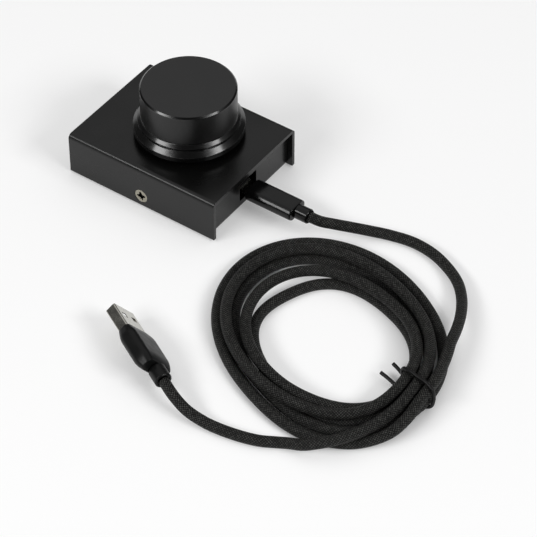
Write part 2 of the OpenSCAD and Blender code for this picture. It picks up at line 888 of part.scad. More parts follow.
// Leaf ring under the frame with two bumps that rest in the rotor's notches
module detent_spring() {
    bump_r = rotor_d / 2 - crest_w / 2;
    bump_d = 0.4;
    bump_gap = 0.1;
    rim_in = 0.1;
    rim_gap = 0.25;
    color("#b8b6a8")
        at_knob(0) {
            translate([0, 0, spring_under])
                ring(rotor_d - 2 * rim_in, ring_d + 2 * rim_gap, spring_t);
            for (side = [-1, 1])
                translate([side * bump_r, 0, crest_z - notch_depth + bump_gap])
                    cylinder(d = bump_d, h = spring_under - crest_z + notch_depth - bump_gap);
        }
}

module push_plunger() {
    color("#e4e0d4")
        at_knob(plunger_z)
            cylinder(d = plunger_d, h = plunger_top - plunger_z);
}

// Snap dome on its seat: a shallow cap with a flat rim
module switch_dome() {
    rim = 0.4;
    flat = 0.5;
    color("#d0c090")
        at_knob(dome_seat)
            rotate_extrude()
                polygon([
                    [0, dome_h - dome_t],
                    [flat, dome_h - dome_t],
                    [dome_d / 2 - rim, 0],
                    [dome_d / 2, 0],
                    [dome_d / 2, dome_t],
                    [dome_d / 2 - rim, dome_t],
                    [flat, dome_h],
                    [0, dome_h]
                ]);
}

module circuit_board() {
    leg_x = encoder_l / 2 + leg_gap + frame_t / 2;
    color("#171918")
        difference() {
            translate([(board_x0 + board_end) / 2, board_y, board_z])
                linear_extrude(board_t)
                    round_rect(board_end - board_x0, board_w, board_r);
            at_knob(board_z - cut) {
                at_pins()
                    cylinder(d = pin_w + 4 * pin_hole_gap, h = board_t + 2 * cut);
                for (side = [-1, 1])
                    translate([side * leg_x, 0, 0])
                        linear_extrude(board_t + 2 * cut)
                            square([frame_t + 2 * pin_hole_gap, leg_w + 2 * pin_hole_gap],
                                center = true);
            }
        }
}

module microcontroller() {
    color("#222426")
        translate([chip_x, chip_y, board_top + chip_lead_t])
            linear_extrude(chip_t)
                round_rect(chip_w, chip_w, chip_corner);
    color("#c8cac8")
        translate([chip_x, chip_y, board_top])
            for (turn = [0:90:270], i = [0:chip_leads - 1])
                rotate([0, 0, turn])
                    translate([chip_w / 2 - chip_lead_in,
                        (i - (chip_leads - 1) / 2) * chip_lead_pitch - chip_lead_w / 2, 0])
                        cube([chip_lead_l + chip_lead_in, chip_lead_w, chip_lead_t]);
}

module crystal() {
    color("#c0c2c2")
        translate([crystal_x, crystal_y, board_top]) {
            linear_extrude(crystal_h)
                round_rect(crystal_l - 2 * crystal_flange, crystal_w - 2 * crystal_flange,
                    crystal_r - crystal_flange / 2);
            linear_extrude(crystal_flange)
                round_rect(crystal_l, crystal_w, crystal_r);
        }
}

// Row of small chip parts along Y, on the board's upper face
module chip_row(x, y, count, h) {
    for (i = [0:count - 1])
        translate([x - chip_part_w / 2, y + i * row_pitch - chip_part_l / 2, board_top])
            cube([chip_part_w, chip_part_l, h]);
}

module capacitors() {
    color("#a08460") {
        chip_row(back_row_x, back_row_y, 3, capacitor_h);
        chip_row(front_row_x, capacitor_row_y, 2, capacitor_h);
    }
}

module resistors() {
    color("#303234") {
        chip_row(back_row_x + back_row_step, back_row_y, 3, resistor_h);
        chip_row(front_row_x, resistor_row_y, 2, resistor_h);
    }
}

// Small socket, hung under the board with its mouth at the window
module socket_shell() {
    color("#c4c6c6")
        translate([0, socket_y, socket_z])
            difference() {
                bar_x(socket_end - socket_l, socket_end, socket_w, socket_h);
                bar_x(socket_end - socket_l + socket_t, socket_end + cut,
                    socket_w - 2 * socket_t, socket_h - 2 * socket_t);
            }
}

module socket_tongue() {
    color("#2a2a2a")
        translate([0, socket_y, socket_z]) {
            translate([0, 0, tongue_t / 2])
                bar_x(socket_end - socket_l + socket_t, nose_tip + tongue_l, tongue_w, tongue_t);
            bar_x(socket_end - socket_l + socket_t, nose_tip - insert_back,
                socket_w - 2 * socket_t, socket_h - 2 * socket_t);
        }
}

// Outline of the nose: its two lower corners are cut off
module nose_outline(w, h, chamfer) {
    polygon([
        [-w / 2, h / 2],
        [-w / 2, chamfer - h / 2],
        [chamfer - w / 2, -h / 2],
        [w / 2 - chamfer, -h / 2],
        [w / 2, chamfer - h / 2],
        [w / 2, h / 2]
    ]);
}

module device_plug_shell() {
    color("#b7b9bb")
        translate([0, socket_y, socket_z])
            difference() {
                slab_x(nose_tip, plug_face)
                    nose_outline(nose_w, nose_h, nose_chamfer);
                slab_x(nose_tip - cut, nose_tip + nose_hollow)
                    nose_outline(nose_w - 2 * nose_t, nose_h - 2 * nose_t,
                        nose_chamfer - nose_t / 2);
            }
}

module device_plug_insert() {
    low = socket_z - nose_h / 2 + nose_t;
    color("#1a1a1a")
        translate([nose_tip + insert_back, socket_y - tongue_w / 2, low])
            cube([nose_hollow - insert_back, tongue_w, insert_t]);
}

// Moulded grip: straight sides, drawn in a little at both ends
module device_plug_grip() {
    draw_in = 0.4;
    nose_edge = 1;
    tail_edge = 0.8;
    slice = 0.02;
    color("#202121")
        translate([0, socket_y, socket_z]) {
            grip_loft(plug_face, plug_face + nose_edge, grip_w, grip_h, grip_r, draw_in, 0, slice);
            slab_x(plug_face + nose_edge, grip_end - tail_edge)
                round_rect(grip_w, grip_h, grip_r);
            grip_loft(grip_end - tail_edge, grip_end, grip_w, grip_h, grip_r, 0, draw_in, slice);
        }
}

// Loft between two rounded rectangles, each drawn in by its own amount
module grip_loft(x0, x1, w, h, r, in0, in1, slice) {
    hull() {
        slab_x(x0, x0 + slice)
            round_rect(w - 2 * in0, h - 2 * in0, r - in0 / 2, $fn = 32);
        slab_x(x1 - slice, x1)
            round_rect(w - 2 * in1, h - 2 * in1, r - in1 / 2, $fn = 32);
    }
}

module device_strain_relief() {
    color("#1c1d1d")
        translate([grip_end, socket_y, socket_z])
            rotate([0, 90, 0])
                collar(relief_d, relief_l);
}

// Short round strain relief, broken at both edges
module collar(d, l) {
    cylinder(d1 = d - 2 * collar_edge, d2 = d, h = collar_edge);
    translate([0, 0, collar_edge])
        cylinder(d = d, h = l - 2 * collar_edge);
    translate([0, 0, l - collar_edge])
        cylinder(d1 = d, d2 = d - 2 * collar_edge, h = collar_edge);
}

module cord_lead() {
    color("#161616")
        level_tube(concat([cord_start_device], lead_points, [coil_enter]),
            [1, 0, 0], coil_in, cord_r, cord_sides, 180 / cord_sides);
}

module cord_coil() {
    color("#161616")
        level_tube(coil_path, coil_in, coil_out, cord_r, coil_sides);
}

module cord_tail() {
    color("#161616")
        level_tube(concat([coil_leave], tail_points, [cord_start_a]),
            coil_out, -plug_axis, cord_r, cord_sides, 180 / cord_sides);
}

module wire_tie() {
    tie_sides = 6;
    along = unit([-0.3, -0.95, 0]);
    dirs = path_dirs(tie_points, tie_points[1] - tie_points[0],
        tie_points[len(tie_points) - 1] - tie_points[len(tie_points) - 2]);
    color("#1a1a1a")
        tube(tie_points, dirs, [for (d = dirs) along], tie_d / 2, tie_sides);
}

module a_plug_strain_relief() {
    color("#1c1d1d")
        at_large_plug()
            translate([block_l, 0, 0])
                rotate([0, 90, 0])
                    collar(collar_d, collar_l);
}

module a_plug_grip() {
    front = 4;
    back = 3;
    slice = 0.02;
    color("#202121")
        at_large_plug() {
            grip_loft(0, front, block_w, block_t, block_round, block_taper, 0, slice);
            slab_x(front, block_l - back)
                round_rect(block_w, block_t, block_round);
            grip_loft(block_l - back, block_l, block_w, block_t, block_round, 0, block_taper,
                slice);
        }
}

module a_plug_shell() {
    color("#b9bab6")
        at_large_plug()
            difference() {
                slab_x(-shell_l, 0)
                    round_rect(shell_w, shell_h, shell_r);
                slab_x(-shell_l - cut, cut)
                    round_rect(shell_w - 2 * shell_t, shell_h - 2 * shell_t, shell_r - shell_t);
                for (side = [-1, 1])
                    translate([hole_back - shell_l, side * hole_pitch / 2, 0])
                        cube([hole_w, hole_w, shell_h + cut], center = true);
            }
}

module a_plug_tongue() {
    color("#e8e8e4")
        at_large_plug()
            translate([0, 0, shell_t + a_tongue_gap - (shell_h - a_tongue_t) / 2])
                bar_x(a_tongue_back - shell_l, 0,
                    shell_w - 2 * shell_t - 2 * a_tongue_gap, a_tongue_t);
}

module a_plug_contacts() {
    face = shell_t + a_tongue_gap - (shell_h - a_tongue_t) / 2 + a_tongue_t / 2;
    color("#d9b65c")
        at_large_plug()
            for (i = [0:3])
                translate([contact_back - shell_l, contact_pitches[i] - contact_w / 2, face])
                    cube([contact_lengths[i], contact_w, contact_t]);
}

top_cover();
base_pan();
cover_screws();
rubber_feet();
knob();
knob_set_screw();
encoder_shaft();
shaft_retaining_ring();
encoder_rotor();
encoder_wiper();
encoder_bushing();
bushing_washer();
bushing_nut();
encoder_frame();
encoder_body();
encoder_track();
detent_spring();
encoder_terminals();
push_plunger();
switch_dome();
circuit_board();
microcontroller();
crystal();
capacitors();
resistors();
socket_shell();
socket_tongue();
device_plug_shell();
device_plug_insert();
device_plug_grip();
device_strain_relief();
cord_lead();
cord_coil();
cord_tail();
wire_tie();
a_plug_strain_relief();
a_plug_grip();
a_plug_shell();
a_plug_tongue();
a_plug_contacts();
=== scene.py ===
"""Looks of a desk volume control: metal box, turned knob and its braided lead.

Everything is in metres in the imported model's frame: +X runs along the box
towards its socket, +Z is up, and the box stands on z = 0.
"""

import logging
import math
from dataclasses import dataclass
from typing import Iterable, Sequence

import bmesh
import bpy
import numpy as np
from numpy.typing import NDArray
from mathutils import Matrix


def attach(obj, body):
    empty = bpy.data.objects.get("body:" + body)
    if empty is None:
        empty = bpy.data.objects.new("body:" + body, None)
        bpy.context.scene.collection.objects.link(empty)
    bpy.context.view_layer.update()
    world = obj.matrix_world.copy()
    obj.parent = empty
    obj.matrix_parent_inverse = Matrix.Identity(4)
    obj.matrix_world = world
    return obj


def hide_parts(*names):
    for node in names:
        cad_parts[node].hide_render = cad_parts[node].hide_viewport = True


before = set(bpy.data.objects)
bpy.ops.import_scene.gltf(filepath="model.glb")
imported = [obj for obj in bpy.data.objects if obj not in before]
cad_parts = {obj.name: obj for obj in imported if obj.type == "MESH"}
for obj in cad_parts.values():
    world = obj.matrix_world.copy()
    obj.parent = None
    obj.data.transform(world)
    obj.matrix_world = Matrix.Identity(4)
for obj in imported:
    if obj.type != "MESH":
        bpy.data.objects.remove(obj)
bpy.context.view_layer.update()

MM = 0.001
# Noise textures mostly keep to this range.
NOISE_LOW, NOISE_HIGH = 0.3, 0.7
BLACK, WHITE = (0.0, 0.0, 0.0), (1.0, 1.0, 1.0)

Array = NDArray[np.float64]
Colour = tuple[float, float, float]
Point = tuple[float, float, float]
Socket = bpy.types.NodeSocket
Material = bpy.types.Material
Piece = bpy.types.Object
log = logging.getLogger("volume_knob")


# Shader graphs


class Value:
    """A number on its way through a shader, with arithmetic that adds Math nodes."""

    def __init__(self, graph: "Graph", source: Socket) -> None:
        """Wraps one output socket of a graph.

        Args:
            graph: The graph that new Math nodes go into.
            source: The output socket that holds the number.
        """
        self.graph = graph
        self.source = source

    def math(self, operation: str, *others: "Value | float", flip: bool = False) -> "Value":
        """Adds one Math node.

        Args:
            operation: The Math node's operation.
            others: The other operands, as values or numbers.
            flip: True where this value is the second operand.

        Returns:
            The result of the operation.
        """
        operands = [*others, self] if flip else [self, *others]
        node = self.graph.add("ShaderNodeMath", {"operation": operation},
                              dict(enumerate(operands)))
        return Value(self.graph, node.outputs[0])

    def __add__(self, other: "Value | float") -> "Value":
        """Sum."""
        return self.math("ADD", other)

    def __radd__(self, other: float) -> "Value":
        """Sum with a number in front."""
        return self.math("ADD", other, flip=True)

    def __sub__(self, other: "Value | float") -> "Value":
        """Difference."""
        return self.math("SUBTRACT", other)

    def __rsub__(self, other: float) -> "Value":
        """A number less this value."""
        return self.math("SUBTRACT", other, flip=True)

    def __mul__(self, other: "Value | float") -> "Value":
        """Product."""
        return self.math("MULTIPLY", other)

    def __rmul__(self, other: float) -> "Value":
        """Product with a number in front."""
        return self.math("MULTIPLY", other, flip=True)

    def sine(self) -> "Value":
        """Sine of the value in radians."""
        return self.math("SINE")

    def size(self) -> "Value":
        """Absolute value."""
        return self.math("ABSOLUTE")

    def clamp(self) -> "Value":
        """The value held between 0 and 1."""
        return self.math("MINIMUM", 1.0).math("MAXIMUM", 0.0)

    def span(self, low: float, high: float, to_low: float = 0.0,
             to_high: float = 1.0) -> "Value":
        """Maps the range low to high onto to_low to to_high, and holds it there.

        Args:
            low: The value that becomes to_low.
            high: The value that becomes to_high.
            to_low: First end of the new range.
            to_high: Second end of the new range.

        Returns:
            The mapped value.
        """
        node = self.graph.add("ShaderNodeMapRange", {"clamp": True},
                              {0: self, 1: low, 2: high, 3: to_low, 4: to_high})
        return Value(self.graph, node.outputs[0])


class Graph:
    """The node tree of one material, built through a single method that adds nodes."""

    def __init__(self, name: str, tree: bpy.types.NodeTree | None = None) -> None:
        """Makes an empty material, or empties a given tree.

        Args:
            name: The material's name.
            tree: The tree to fill instead of a new material's.
        """
        if tree is None:
            self.material = bpy.data.materials.new(name)
            self.material.use_nodes = True
            tree = self.material.node_tree
        self.tree = tree
        self.tree.nodes.clear()

    def add(self, kind: str, settings: dict | None = None,
            inputs: dict | None = None) -> bpy.types.Node:
        """Adds a node, sets it up and then fills or links its sockets.

        Args:
            kind: The node's type.
            settings: Properties of the node, such as its operation.
            inputs: Values, sockets or Values by socket name or index.

        Returns:
            The new node.
        """
        node = self.tree.nodes.new(kind)
        for key, value in (settings or {}).items():
            setattr(node, key, value)
        for key, value in (inputs or {}).items():
            self._feed(node.inputs[key], value)
        return node

    def _feed(self, socket: Socket, value: object) -> None:
        """Links a value into a socket, or sets the socket's own number or colour.

        Args:
            socket: The input socket.
            value: A Value, an output socket, a number, a vector or a colour.
        """
        if isinstance(value, Value):
            value = value.source
        if isinstance(value, Socket):
            self.tree.links.new(value, socket)
        elif isinstance(value, tuple) and len(value) == 3 and socket.type == "RGBA":
            socket.default_value = (*value, 1.0)
        else:
            socket.default_value = value

    def coordinates(self) -> Socket:
        """Object coordinates in metres."""
        return self.add("ShaderNodeTexCoord").outputs["Object"]

    def axes(self, place: Socket) -> tuple[Value, Value, Value]:
        """Splits a point into its three numbers."""
        node = self.add("ShaderNodeSeparateXYZ", None, {0: place})
        return tuple(Value(self, node.outputs[i]) for i in range(3))

    def point(self, *parts: Value) -> Socket:
        """Joins up to three numbers into a point."""
        return self.add("ShaderNodeCombineXYZ", None, dict(enumerate(parts))).outputs[0]

    def noise(self, place: Socket, grain: float, detail: float = 2.0) -> Value:
        """Noise from 0 to 1 whose features are about one grain wide.

        Args:
            place: The coordinates that it reads.
            grain: Width of a feature, in metres.
            detail: Number of finer octaves.

        Returns:
            The noise value.
        """
        node = self.add("ShaderNodeTexNoise", None,
                        {"Vector": place, "Scale": 1.0 / grain, "Detail": detail})
        return Value(self, node.outputs[0])

    def blend(self, share: "Value | float", first: object, second: object) -> Socket:
        """Mixes two colours.

        Args:
            share: 0 for the first colour, 1 for the second.
            first: A colour or a colour socket.
            second: A colour or a colour socket.

        Returns:
            The mixed colour's socket.
        """
        node = self.add("ShaderNodeMix", {"data_type": "RGBA"},
                        {0: share, 6: first, 7: second})
        return node.outputs[2]

    def bump(self, height: Value, depth: float, under: Socket | None = None) -> Socket:
        """Turns a height from 0 to 1 into a normal.

        Args:
            height: The height.
            depth: The real height of 1, in metres.
            under: A normal that this one lies on.

        Returns:
            The normal's socket.
        """
        inputs = {"Height": height, "Distance": depth}
        if under is not None:
            inputs["Normal"] = under
        return self.add("ShaderNodeBump", None, inputs).outputs[0]

    def soft_edges(self, radius: float, samples: int = 6) -> Socket:
        """Normal that rounds the piece's sharp edges by a radius in metres."""
        node = self.add("ShaderNodeBevel", {"samples": samples}, {"Radius": radius})
        return node.outputs[0]

    def shader(self, **sockets: object) -> Material:
        """Ends the graph in a Principled shader.

        Args:
            sockets: Values by socket name, with _ for a space.

        Returns:
            The finished material.
        """
        inputs = {name.replace("_", " "): value for name, value in sockets.items()}
        surface = self.add("ShaderNodeBsdfPrincipled", None, inputs)
        self.add("ShaderNodeOutputMaterial", None, {"Surface": surface.outputs[0]})
        return self.material


# Finishes


@dataclass(frozen=True)
class Finish:
    """A finish that one or more pieces share.

    Its colour goes down and up by a share of itself, spread, and its roughness by
    the two numbers of wander. In the finishes below, shine is the specular level,
    a grain is the width of a noise's features, relief is the height of a bump and
    edge is the radius by which sharp edges look rounded.
    """

    name: str
    colour: Colour
    spread: float = 0.2
    roughness: float = 0.4
    wander: tuple[float, float] = (0.05, 0.06)

    def shades(self, graph: Graph, share: Value) -> Socket:
        """The finish's colour, darker and lighter by its spread.

        Args:
            graph: The material's graph.
            share: 0 for the darkest shade, 1 for the lightest.

        Returns:
            The colour's socket.
        """
        dark = tuple(c * (1 - self.spread) for c in self.colour)
        light = tuple(min(1.0, c * (1 + self.spread)) for c in self.colour)
        return graph.blend(share, dark, light)

    def rough(self, noise: Value) -> Value:
        """The finish's roughness, lower and higher with a noise."""
        down, up = self.wander
        return noise.span(NOISE_LOW, NOISE_HIGH, self.roughness - down, self.roughness + up)

    def material(self) -> Material:
        """Builds the material."""
        raise NotImplementedError

    def shared(self) -> Material:
        """The finish's material, built the first time that it is asked for."""
        return bpy.data.materials.get(self.name) or self.material()


@dataclass(frozen=True)
class PowderCoat(Finish):
    """Smooth satin powder coat on sheet metal."""

    spread: float = 0.25
    roughness: float = 0.27
    wander: tuple[float, float] = (0.04, 0.05)
    shine: float = 0.34
    grain: float = 0.5 * MM
    cloud_grain: float = 20 * MM
    cloud_share: float = 0.4
    relief: float = 0.004 * MM
    edge: float = 0.25 * MM

    def material(self) -> Material:
        """Speckled black coat, with slightly rounded sheet edges.

        Returns:
            The material.
        """
        graph = Graph(self.name)
        place = graph.coordinates()
        pebble = graph.noise(place, self.grain, detail=3.0)
        cloud = graph.noise(place, self.cloud_grain, detail=3.0)
        speckle = pebble * (1 - self.cloud_share) + cloud * self.cloud_share
        return graph.shader(
            Base_Color=self.shades(graph, speckle),
            Roughness=self.rough(cloud),
            Specular_IOR_Level=self.shine,
            Normal=graph.bump(pebble, self.relief, graph.soft_edges(self.edge)),
        )


@dataclass(frozen=True)
class Anodised(Finish):
    """Black anodised turned metal: tool marks round the axis and a brushed wall.

    The wall lies between two heights. Its streaks are as wide as streak where the
    radius is reach, and as long as streak_run.
    """

    axis: tuple[float, float] = (0.0, 0.0)
    spread: float = 0.22
    roughness: float = 0.16
    wander: tuple[float, float] = (0.02, 0.03)
    shine: float = 0.44
    pitch: float = 0.12 * MM
    slant: float = 0.73
    relief: float = 0.0006 * MM
    haze_grain: float = 9 * MM
    wall_from: float = 28.6 * MM
    wall_to: float = 41.0 * MM
    wall_fade: float = 0.3 * MM
    wall_haze: float = 0.2
    reach: float = 19 * MM
    streak: float = 0.8 * MM
    streak_run: float = 12 * MM
    brushing: float = 40.0

    def material(self) -> Material:
        """Dark metal whose reflections spread across the tool marks.

        The marks are noise along the height plus a share, slant, of the radius. The
        brushing is noise round the axis in streaks, and covers the wall alone.

        Returns:
            The material.
        """
        graph = Graph(self.name)
        place = graph.coordinates()
        x, y, z = graph.axes(place)
        east = x - self.axis[0]
        north = y - self.axis[1]
        along = z + (east * east + north * north).math("SQRT") * self.slant
        wall = ((z - self.wall_from).span(0.0, self.wall_fade)
                * (z - self.wall_to).span(-self.wall_fade, 0.0, 1.0, 0.0))
        ridge = graph.noise(graph.point(along * (1 / self.pitch)), 1.0)
        turn = north.math("ARCTAN2", east) * (self.reach / self.streak)
        brushed = graph.noise(graph.point(turn, along * (1 / self.streak_run)), 1.0)
        haze = graph.noise(place, self.haze_grain, detail=3.0)
        return graph.shader(
            Base_Color=self.shades(graph, (ridge + haze) * 0.5),
            Roughness=self.rough(haze) + wall * self.wall_haze,
            Specular_IOR_Level=self.shine,
            Normal=graph.bump(ridge + brushed * wall * self.brushing, self.relief),
        )


@dataclass(frozen=True)
class BareMetal(Finish):
    """Plated or bare metal with faint drawing marks."""

    spread: float = 0.16
    roughness: float = 0.25
    wander: tuple[float, float] = (0.08, 0.1)
    cloud_grain: float = 3.6 * MM
    scuff_grain: float = 0.2 * MM
    scuff_share: float = 0.4
    relief: float = 0.004 * MM
    edge: float = 0.08 * MM

    def tone(self, graph: Graph, cloud: Value) -> Socket:
        """The metal's colour, cloudy with a noise."""
        return self.shades(graph, cloud)

    def material(self) -> Material:
        """Metal with cloudy plating and fine scuffs.

        Returns:
            The material.
        """
        graph = Graph(self.name)
        place = graph.coordinates()
        cloud = graph.noise(place, self.cloud_grain, detail=4.0)
        scuff = graph.noise(place, self.scuff_grain, detail=3.0)
        wear = cloud * (1 - self.scuff_share) + scuff * self.scuff_share
        return graph.shader(
            Base_Color=self.tone(graph, cloud),
            Metallic=1.0,
            Roughness=self.rough(wear),
            Normal=graph.bump(scuff, self.relief, graph.soft_edges(self.edge)),
        )


@dataclass(frozen=True)
class ShadedRecessMetal(BareMetal):
    """Bare metal with painted shade in its recess, darker with the depth below the plane of
    a face.
    """

    face: float = 26.9 * MM
    dark_from: float = 0.06 * MM
    dark_at: float = 0.4 * MM
    # Colour of the painted shade deep in the recess.
    recess_shade: Colour = (0.012, 0.011, 0.01)

    def tone(self, graph: Graph, cloud: Value) -> Socket:
        """Fades to the painted shade with the distance below the face.

        Args:
            graph: The material's graph.
            cloud: The noise of the plating.

        Returns:
            The colour's socket.
        """
        _, y, _ = graph.axes(graph.coordinates())
        sunk = (self.face - y.size()).span(self.dark_from, self.dark_at)
        return graph.blend(sunk, super().tone(graph, cloud), self.recess_shade)


@dataclass(frozen=True)
class Moulded(Finish):
    """Moulded plastic or rubber with a spark-eroded grain."""

    shine: float = 0.4
    grain: float = 0.25 * MM
    cloud_grain: float = 3.5 * MM
    relief: float = 0.008 * MM
    edge: float = 0.1 * MM

    def material(self) -> Material:
        """Satin surface with faint mottling.

        Returns:
            The material.
        """
        graph = Graph(self.name)
        place = graph.coordinates()
        grain = graph.noise(place, self.grain)
        cloud = graph.noise(place, self.cloud_grain, detail=3.0)
        return graph.shader(
            Base_Color=self.shades(graph, cloud),
            Roughness=self.rough(cloud),
            Specular_IOR_Level=self.shine,
            Normal=graph.bump(grain, self.relief, graph.soft_edges(self.edge)),
        )


@dataclass(frozen=True)
class Braid(Finish):
    """Braided sleeve: two families of strands that pass over and under.

    A strand's crown runs from 0 at its edge to 1 along its middle, and carries a painted
    highlight in patches.
    """

    spread: float = 0.5
    roughness: float = 0.5
    wander: tuple[float, float] = (0.05, 0.15)
    shine: float = 0.12
    # Colour of the painted highlight on the strands' crowns.
    glint_colour: Colour = (0.08, 0.08, 0.075)
    pitch: float = 2.2 * MM
    strands: int = 12
    relief: float = 0.3 * MM
    crossing: float = 0.25
    fibre_grain: float = 0.12 * MM
    fibre_share: float = 0.2
    glint_patch_grain: float = 1.1 * MM
    glint_patch_range: tuple[float, float] = (0.4, 0.6)
    glint_patch_least: float = 0.35
    glint_crown: tuple[float, float] = (0.72, 0.98)
    smooth_crown: tuple[float, float] = (0.2, 0.9)

    def material(self) -> Material:
        """Plain braid, from the tube's own lengthwise and round coordinates.

        The two families follow the sines of the length plus and less the turn, and
        the product of both says which one lies on top.

        Returns:
            The material.
        """
        graph = Graph(self.name)
        weave = graph.add("ShaderNodeUVMap", {"uv_map": "UVMap"}).outputs[0]
        length, turn, _ = graph.axes(weave)
        run = length * (2 * math.pi / self.pitch)
        around = turn * (math.pi * self.strands)
        right = (run + around).sine()
        left = (run - around).sine()
        over = (right * left).span(-self.crossing, self.crossing)
        crown = right.size() * over + left.size() * (1 - over)
        place = graph.coordinates()
        fibre = graph.noise(place, self.fibre_grain)
        height = crown * (1 - self.fibre_share) + fibre * self.fibre_share
        # Painted highlight along the crowns, broken into patches by noise.
        glint_patches = graph.noise(place, self.glint_patch_grain).span(*self.glint_patch_range, self.glint_patch_least)
        glint = crown.span(*self.glint_crown) * glint_patches
        down, up = self.wander
        return graph.shader(
            Base_Color=graph.blend(glint, self.shades(graph, fibre), self.glint_colour),
            Roughness=crown.span(*self.smooth_crown, self.roughness + up,
                                 self.roughness - down),
            Specular_IOR_Level=self.shine,
            Normal=graph.bump(height, self.relief),
        )


@dataclass(frozen=True)
class Laminate(Finish):
    """Circuit board with its solder mask over faint copper tracks."""

    spread: float = 0.35
    roughness: float = 0.32
    copper_roughness: float = 0.26
    track: float = 1.6 * MM
    track_edge: tuple[float, float] = (0.1, 0.3)
    bend: float = 5 * MM
    bend_grain: float = 9 * MM
    relief: float = 0.03 * MM

    def material(self) -> Material:
        """Black mask, lighter where copper runs under it.

        The tracks are where the sine of the place across them is high; noise bends
        them.

        Returns:
            The material.
        """
        graph = Graph(self.name)
        place = graph.coordinates()
        _, y, _ = graph.axes(place)
        bend = graph.noise(place, self.bend_grain, detail=0.0) * self.bend
        lanes = ((y + bend) * (2 * math.pi / self.track)).sine()
        copper = lanes.span(*self.track_edge)
        return graph.shader(
            Base_Color=self.shades(graph, copper),
            Roughness=copper.span(0.0, 1.0, self.roughness, self.copper_roughness),
            Normal=graph.bump(copper, self.relief),
        )


# Meshes


def unit(vectors: Array) -> Array:
    """Vectors scaled to length 1, along their last axis."""
    return vectors / np.linalg.norm(vectors, axis=-1, keepdims=True)


def round_angles(count: int) -> Array:
    """Even angles once round, from 0."""
    return np.linspace(0.0, 2 * np.pi, count, endpoint=False)


def grid_faces(rows: int, columns: int) -> Array:
    """Quads of rings one behind another, their points numbered ring by ring.

    Args:
        rows: Number of rings.
        columns: Number of points in a ring.

    Returns:
        One row of four point numbers per quad.
    """
    row, column = np.meshgrid(np.arange(rows - 1), np.arange(columns), indexing="ij")
    after = (column + 1) % columns
    corners = [row * columns + column, row * columns + after,
               (row + 1) * columns + after, (row + 1) * columns + column]
    return np.stack(corners, -1).reshape(-1, 4)


def capped_faces(rows: int, columns: int) -> list[Sequence[int]]:
    """The quads of grid_faces, then one face over the first ring and one over the last."""
    return [*grid_faces(rows, columns),
            range(columns - 1, -1, -1), range((rows - 1) * columns, rows * columns)]


def make_piece(name: str, points: Array, faces: Iterable[Sequence[int]],
               material: Material, smooth: bool = True) -> Piece:
    """Puts points and faces into a new object at the origin.

    Args:
        name: The piece's name.
        points: One row of x, y, z per point, in metres.
        faces: Point numbers of each face.
        material: The piece's finish.
        smooth: True to shade across the faces.

    Returns:
        The new object, linked into the scene.
    """
    mesh = bpy.data.meshes.new(name)
    mesh.from_pydata(points.reshape(-1, 3).tolist(), [], [list(map(int, f)) for f in faces])
    mesh.materials.append(material)
    mesh.polygons.foreach_set("use_smooth", [smooth] * len(mesh.polygons))
    mesh.update()
    piece = bpy.data.objects.new(name, mesh)
    bpy.context.scene.collection.objects.link(piece)
    return piece


def face_outwards(piece: Piece, apart: float = 1e-7) -> None:
    """Merges doubles and recalculates the normals of a closed piece.

    Args:
        piece: The piece, whose mesh is changed.
        apart: Points nearer than this become one, in metres.
    """
    shell = bmesh.new()
    shell.from_mesh(piece.data)
    bmesh.ops.remove_doubles(shell, verts=shell.verts, dist=apart)
    bmesh.ops.recalc_face_normals(shell, faces=shell.faces)
    shell.to_mesh(piece.data)
    shell.free()
    piece.data.update()


def sharpen(piece: Piece, degrees: float) -> None:
    """Keeps edges steeper than an angle sharp."""
    piece.data.set_sharp_from_angle(angle=math.radians(degrees))


def lengths_along(path: Array) -> Array:
    """Distance walked at each point of a path."""
    return np.concatenate([[0.0], np.cumsum(np.linalg.norm(np.diff(path, axis=0), axis=1))])


def through(points: Array, step: float, finer: int = 4) -> Array:
    """Smooth curve through points, at an even step.

    Each span is a cubic whose end slopes come from the chords beside it, with
    the chord lengths as parameter, and the curve is then walked at equal steps.

    Args:
        points: The points that it passes, in order.
        step: Distance between the points returned, in metres.
        finer: How many times closer the cubics' own points are.

    Returns:
        The points along the curve.
    """
    chord = np.linalg.norm(np.diff(points, axis=0), axis=1)
    knots = lengths_along(points)
    slope = np.gradient(points, knots, axis=0)
    fine = np.linspace(0.0, knots[-1], max(2, int(knots[-1] / step)) * finer)
    span = np.clip(np.searchsorted(knots, fine, side="right") - 1, 0, len(chord) - 1)
    t = ((fine - knots[span]) / chord[span])[:, None]
    h = chord[span][:, None]
    curve = ((2 * t**3 - 3 * t**2 + 1) * points[span]
             + (t**3 - 2 * t**2 + t) * h * slope[span]
             + (3 * t**2 - 2 * t**3) * points[span + 1]
             + (t**3 - t**2) * h * slope[span + 1])
    walked = lengths_along(curve)
    even = np.linspace(0.0, walked[-1], max(2, int(round(walked[-1] / step)) + 1))
    return np.stack([np.interp(even, walked, curve[:, k]) for k in range(3)], 1)


def smooth_step(value: Array, low: float, high: float) -> Array:
    """Eases from 0 at low to 1 at high."""
    t = np.clip((value - low) / (high - low), 0.0, 1.0)
    return t * t * (3 - 2 * t)


def hump(value: Array, centre: float, spread: float) -> Array:
    """Bell of height 1 about a centre."""
    return np.exp(-((value - centre) / spread) ** 2)


def direction(azimuth: float, elevation: float) -> Array:
    """Unit vector at an azimuth from +X and an elevation above level, in degrees."""
    a, e = math.radians(azimuth), math.radians(elevation)
    return np.array([math.cos(a) * math.cos(e), math.sin(a) * math.cos(e), math.sin(e)])


def side_frames(path: Array, level: Array) -> tuple[Array, Array]:
    """Two directions square to a path and to each other, at each of its points.

    The first is the cross product of level with the path's direction, the second
    that of the path's direction with the first.

    Args:
        path: Points along the path.
        level: Vector that the first direction is square to.

    Returns:
        The sideways and the upward directions.
    """
    forward = unit(np.gradient(path, axis=0))
    side = unit(np.cross(np.broadcast_to(level, path.shape), forward))
    return side, np.cross(forward, side)


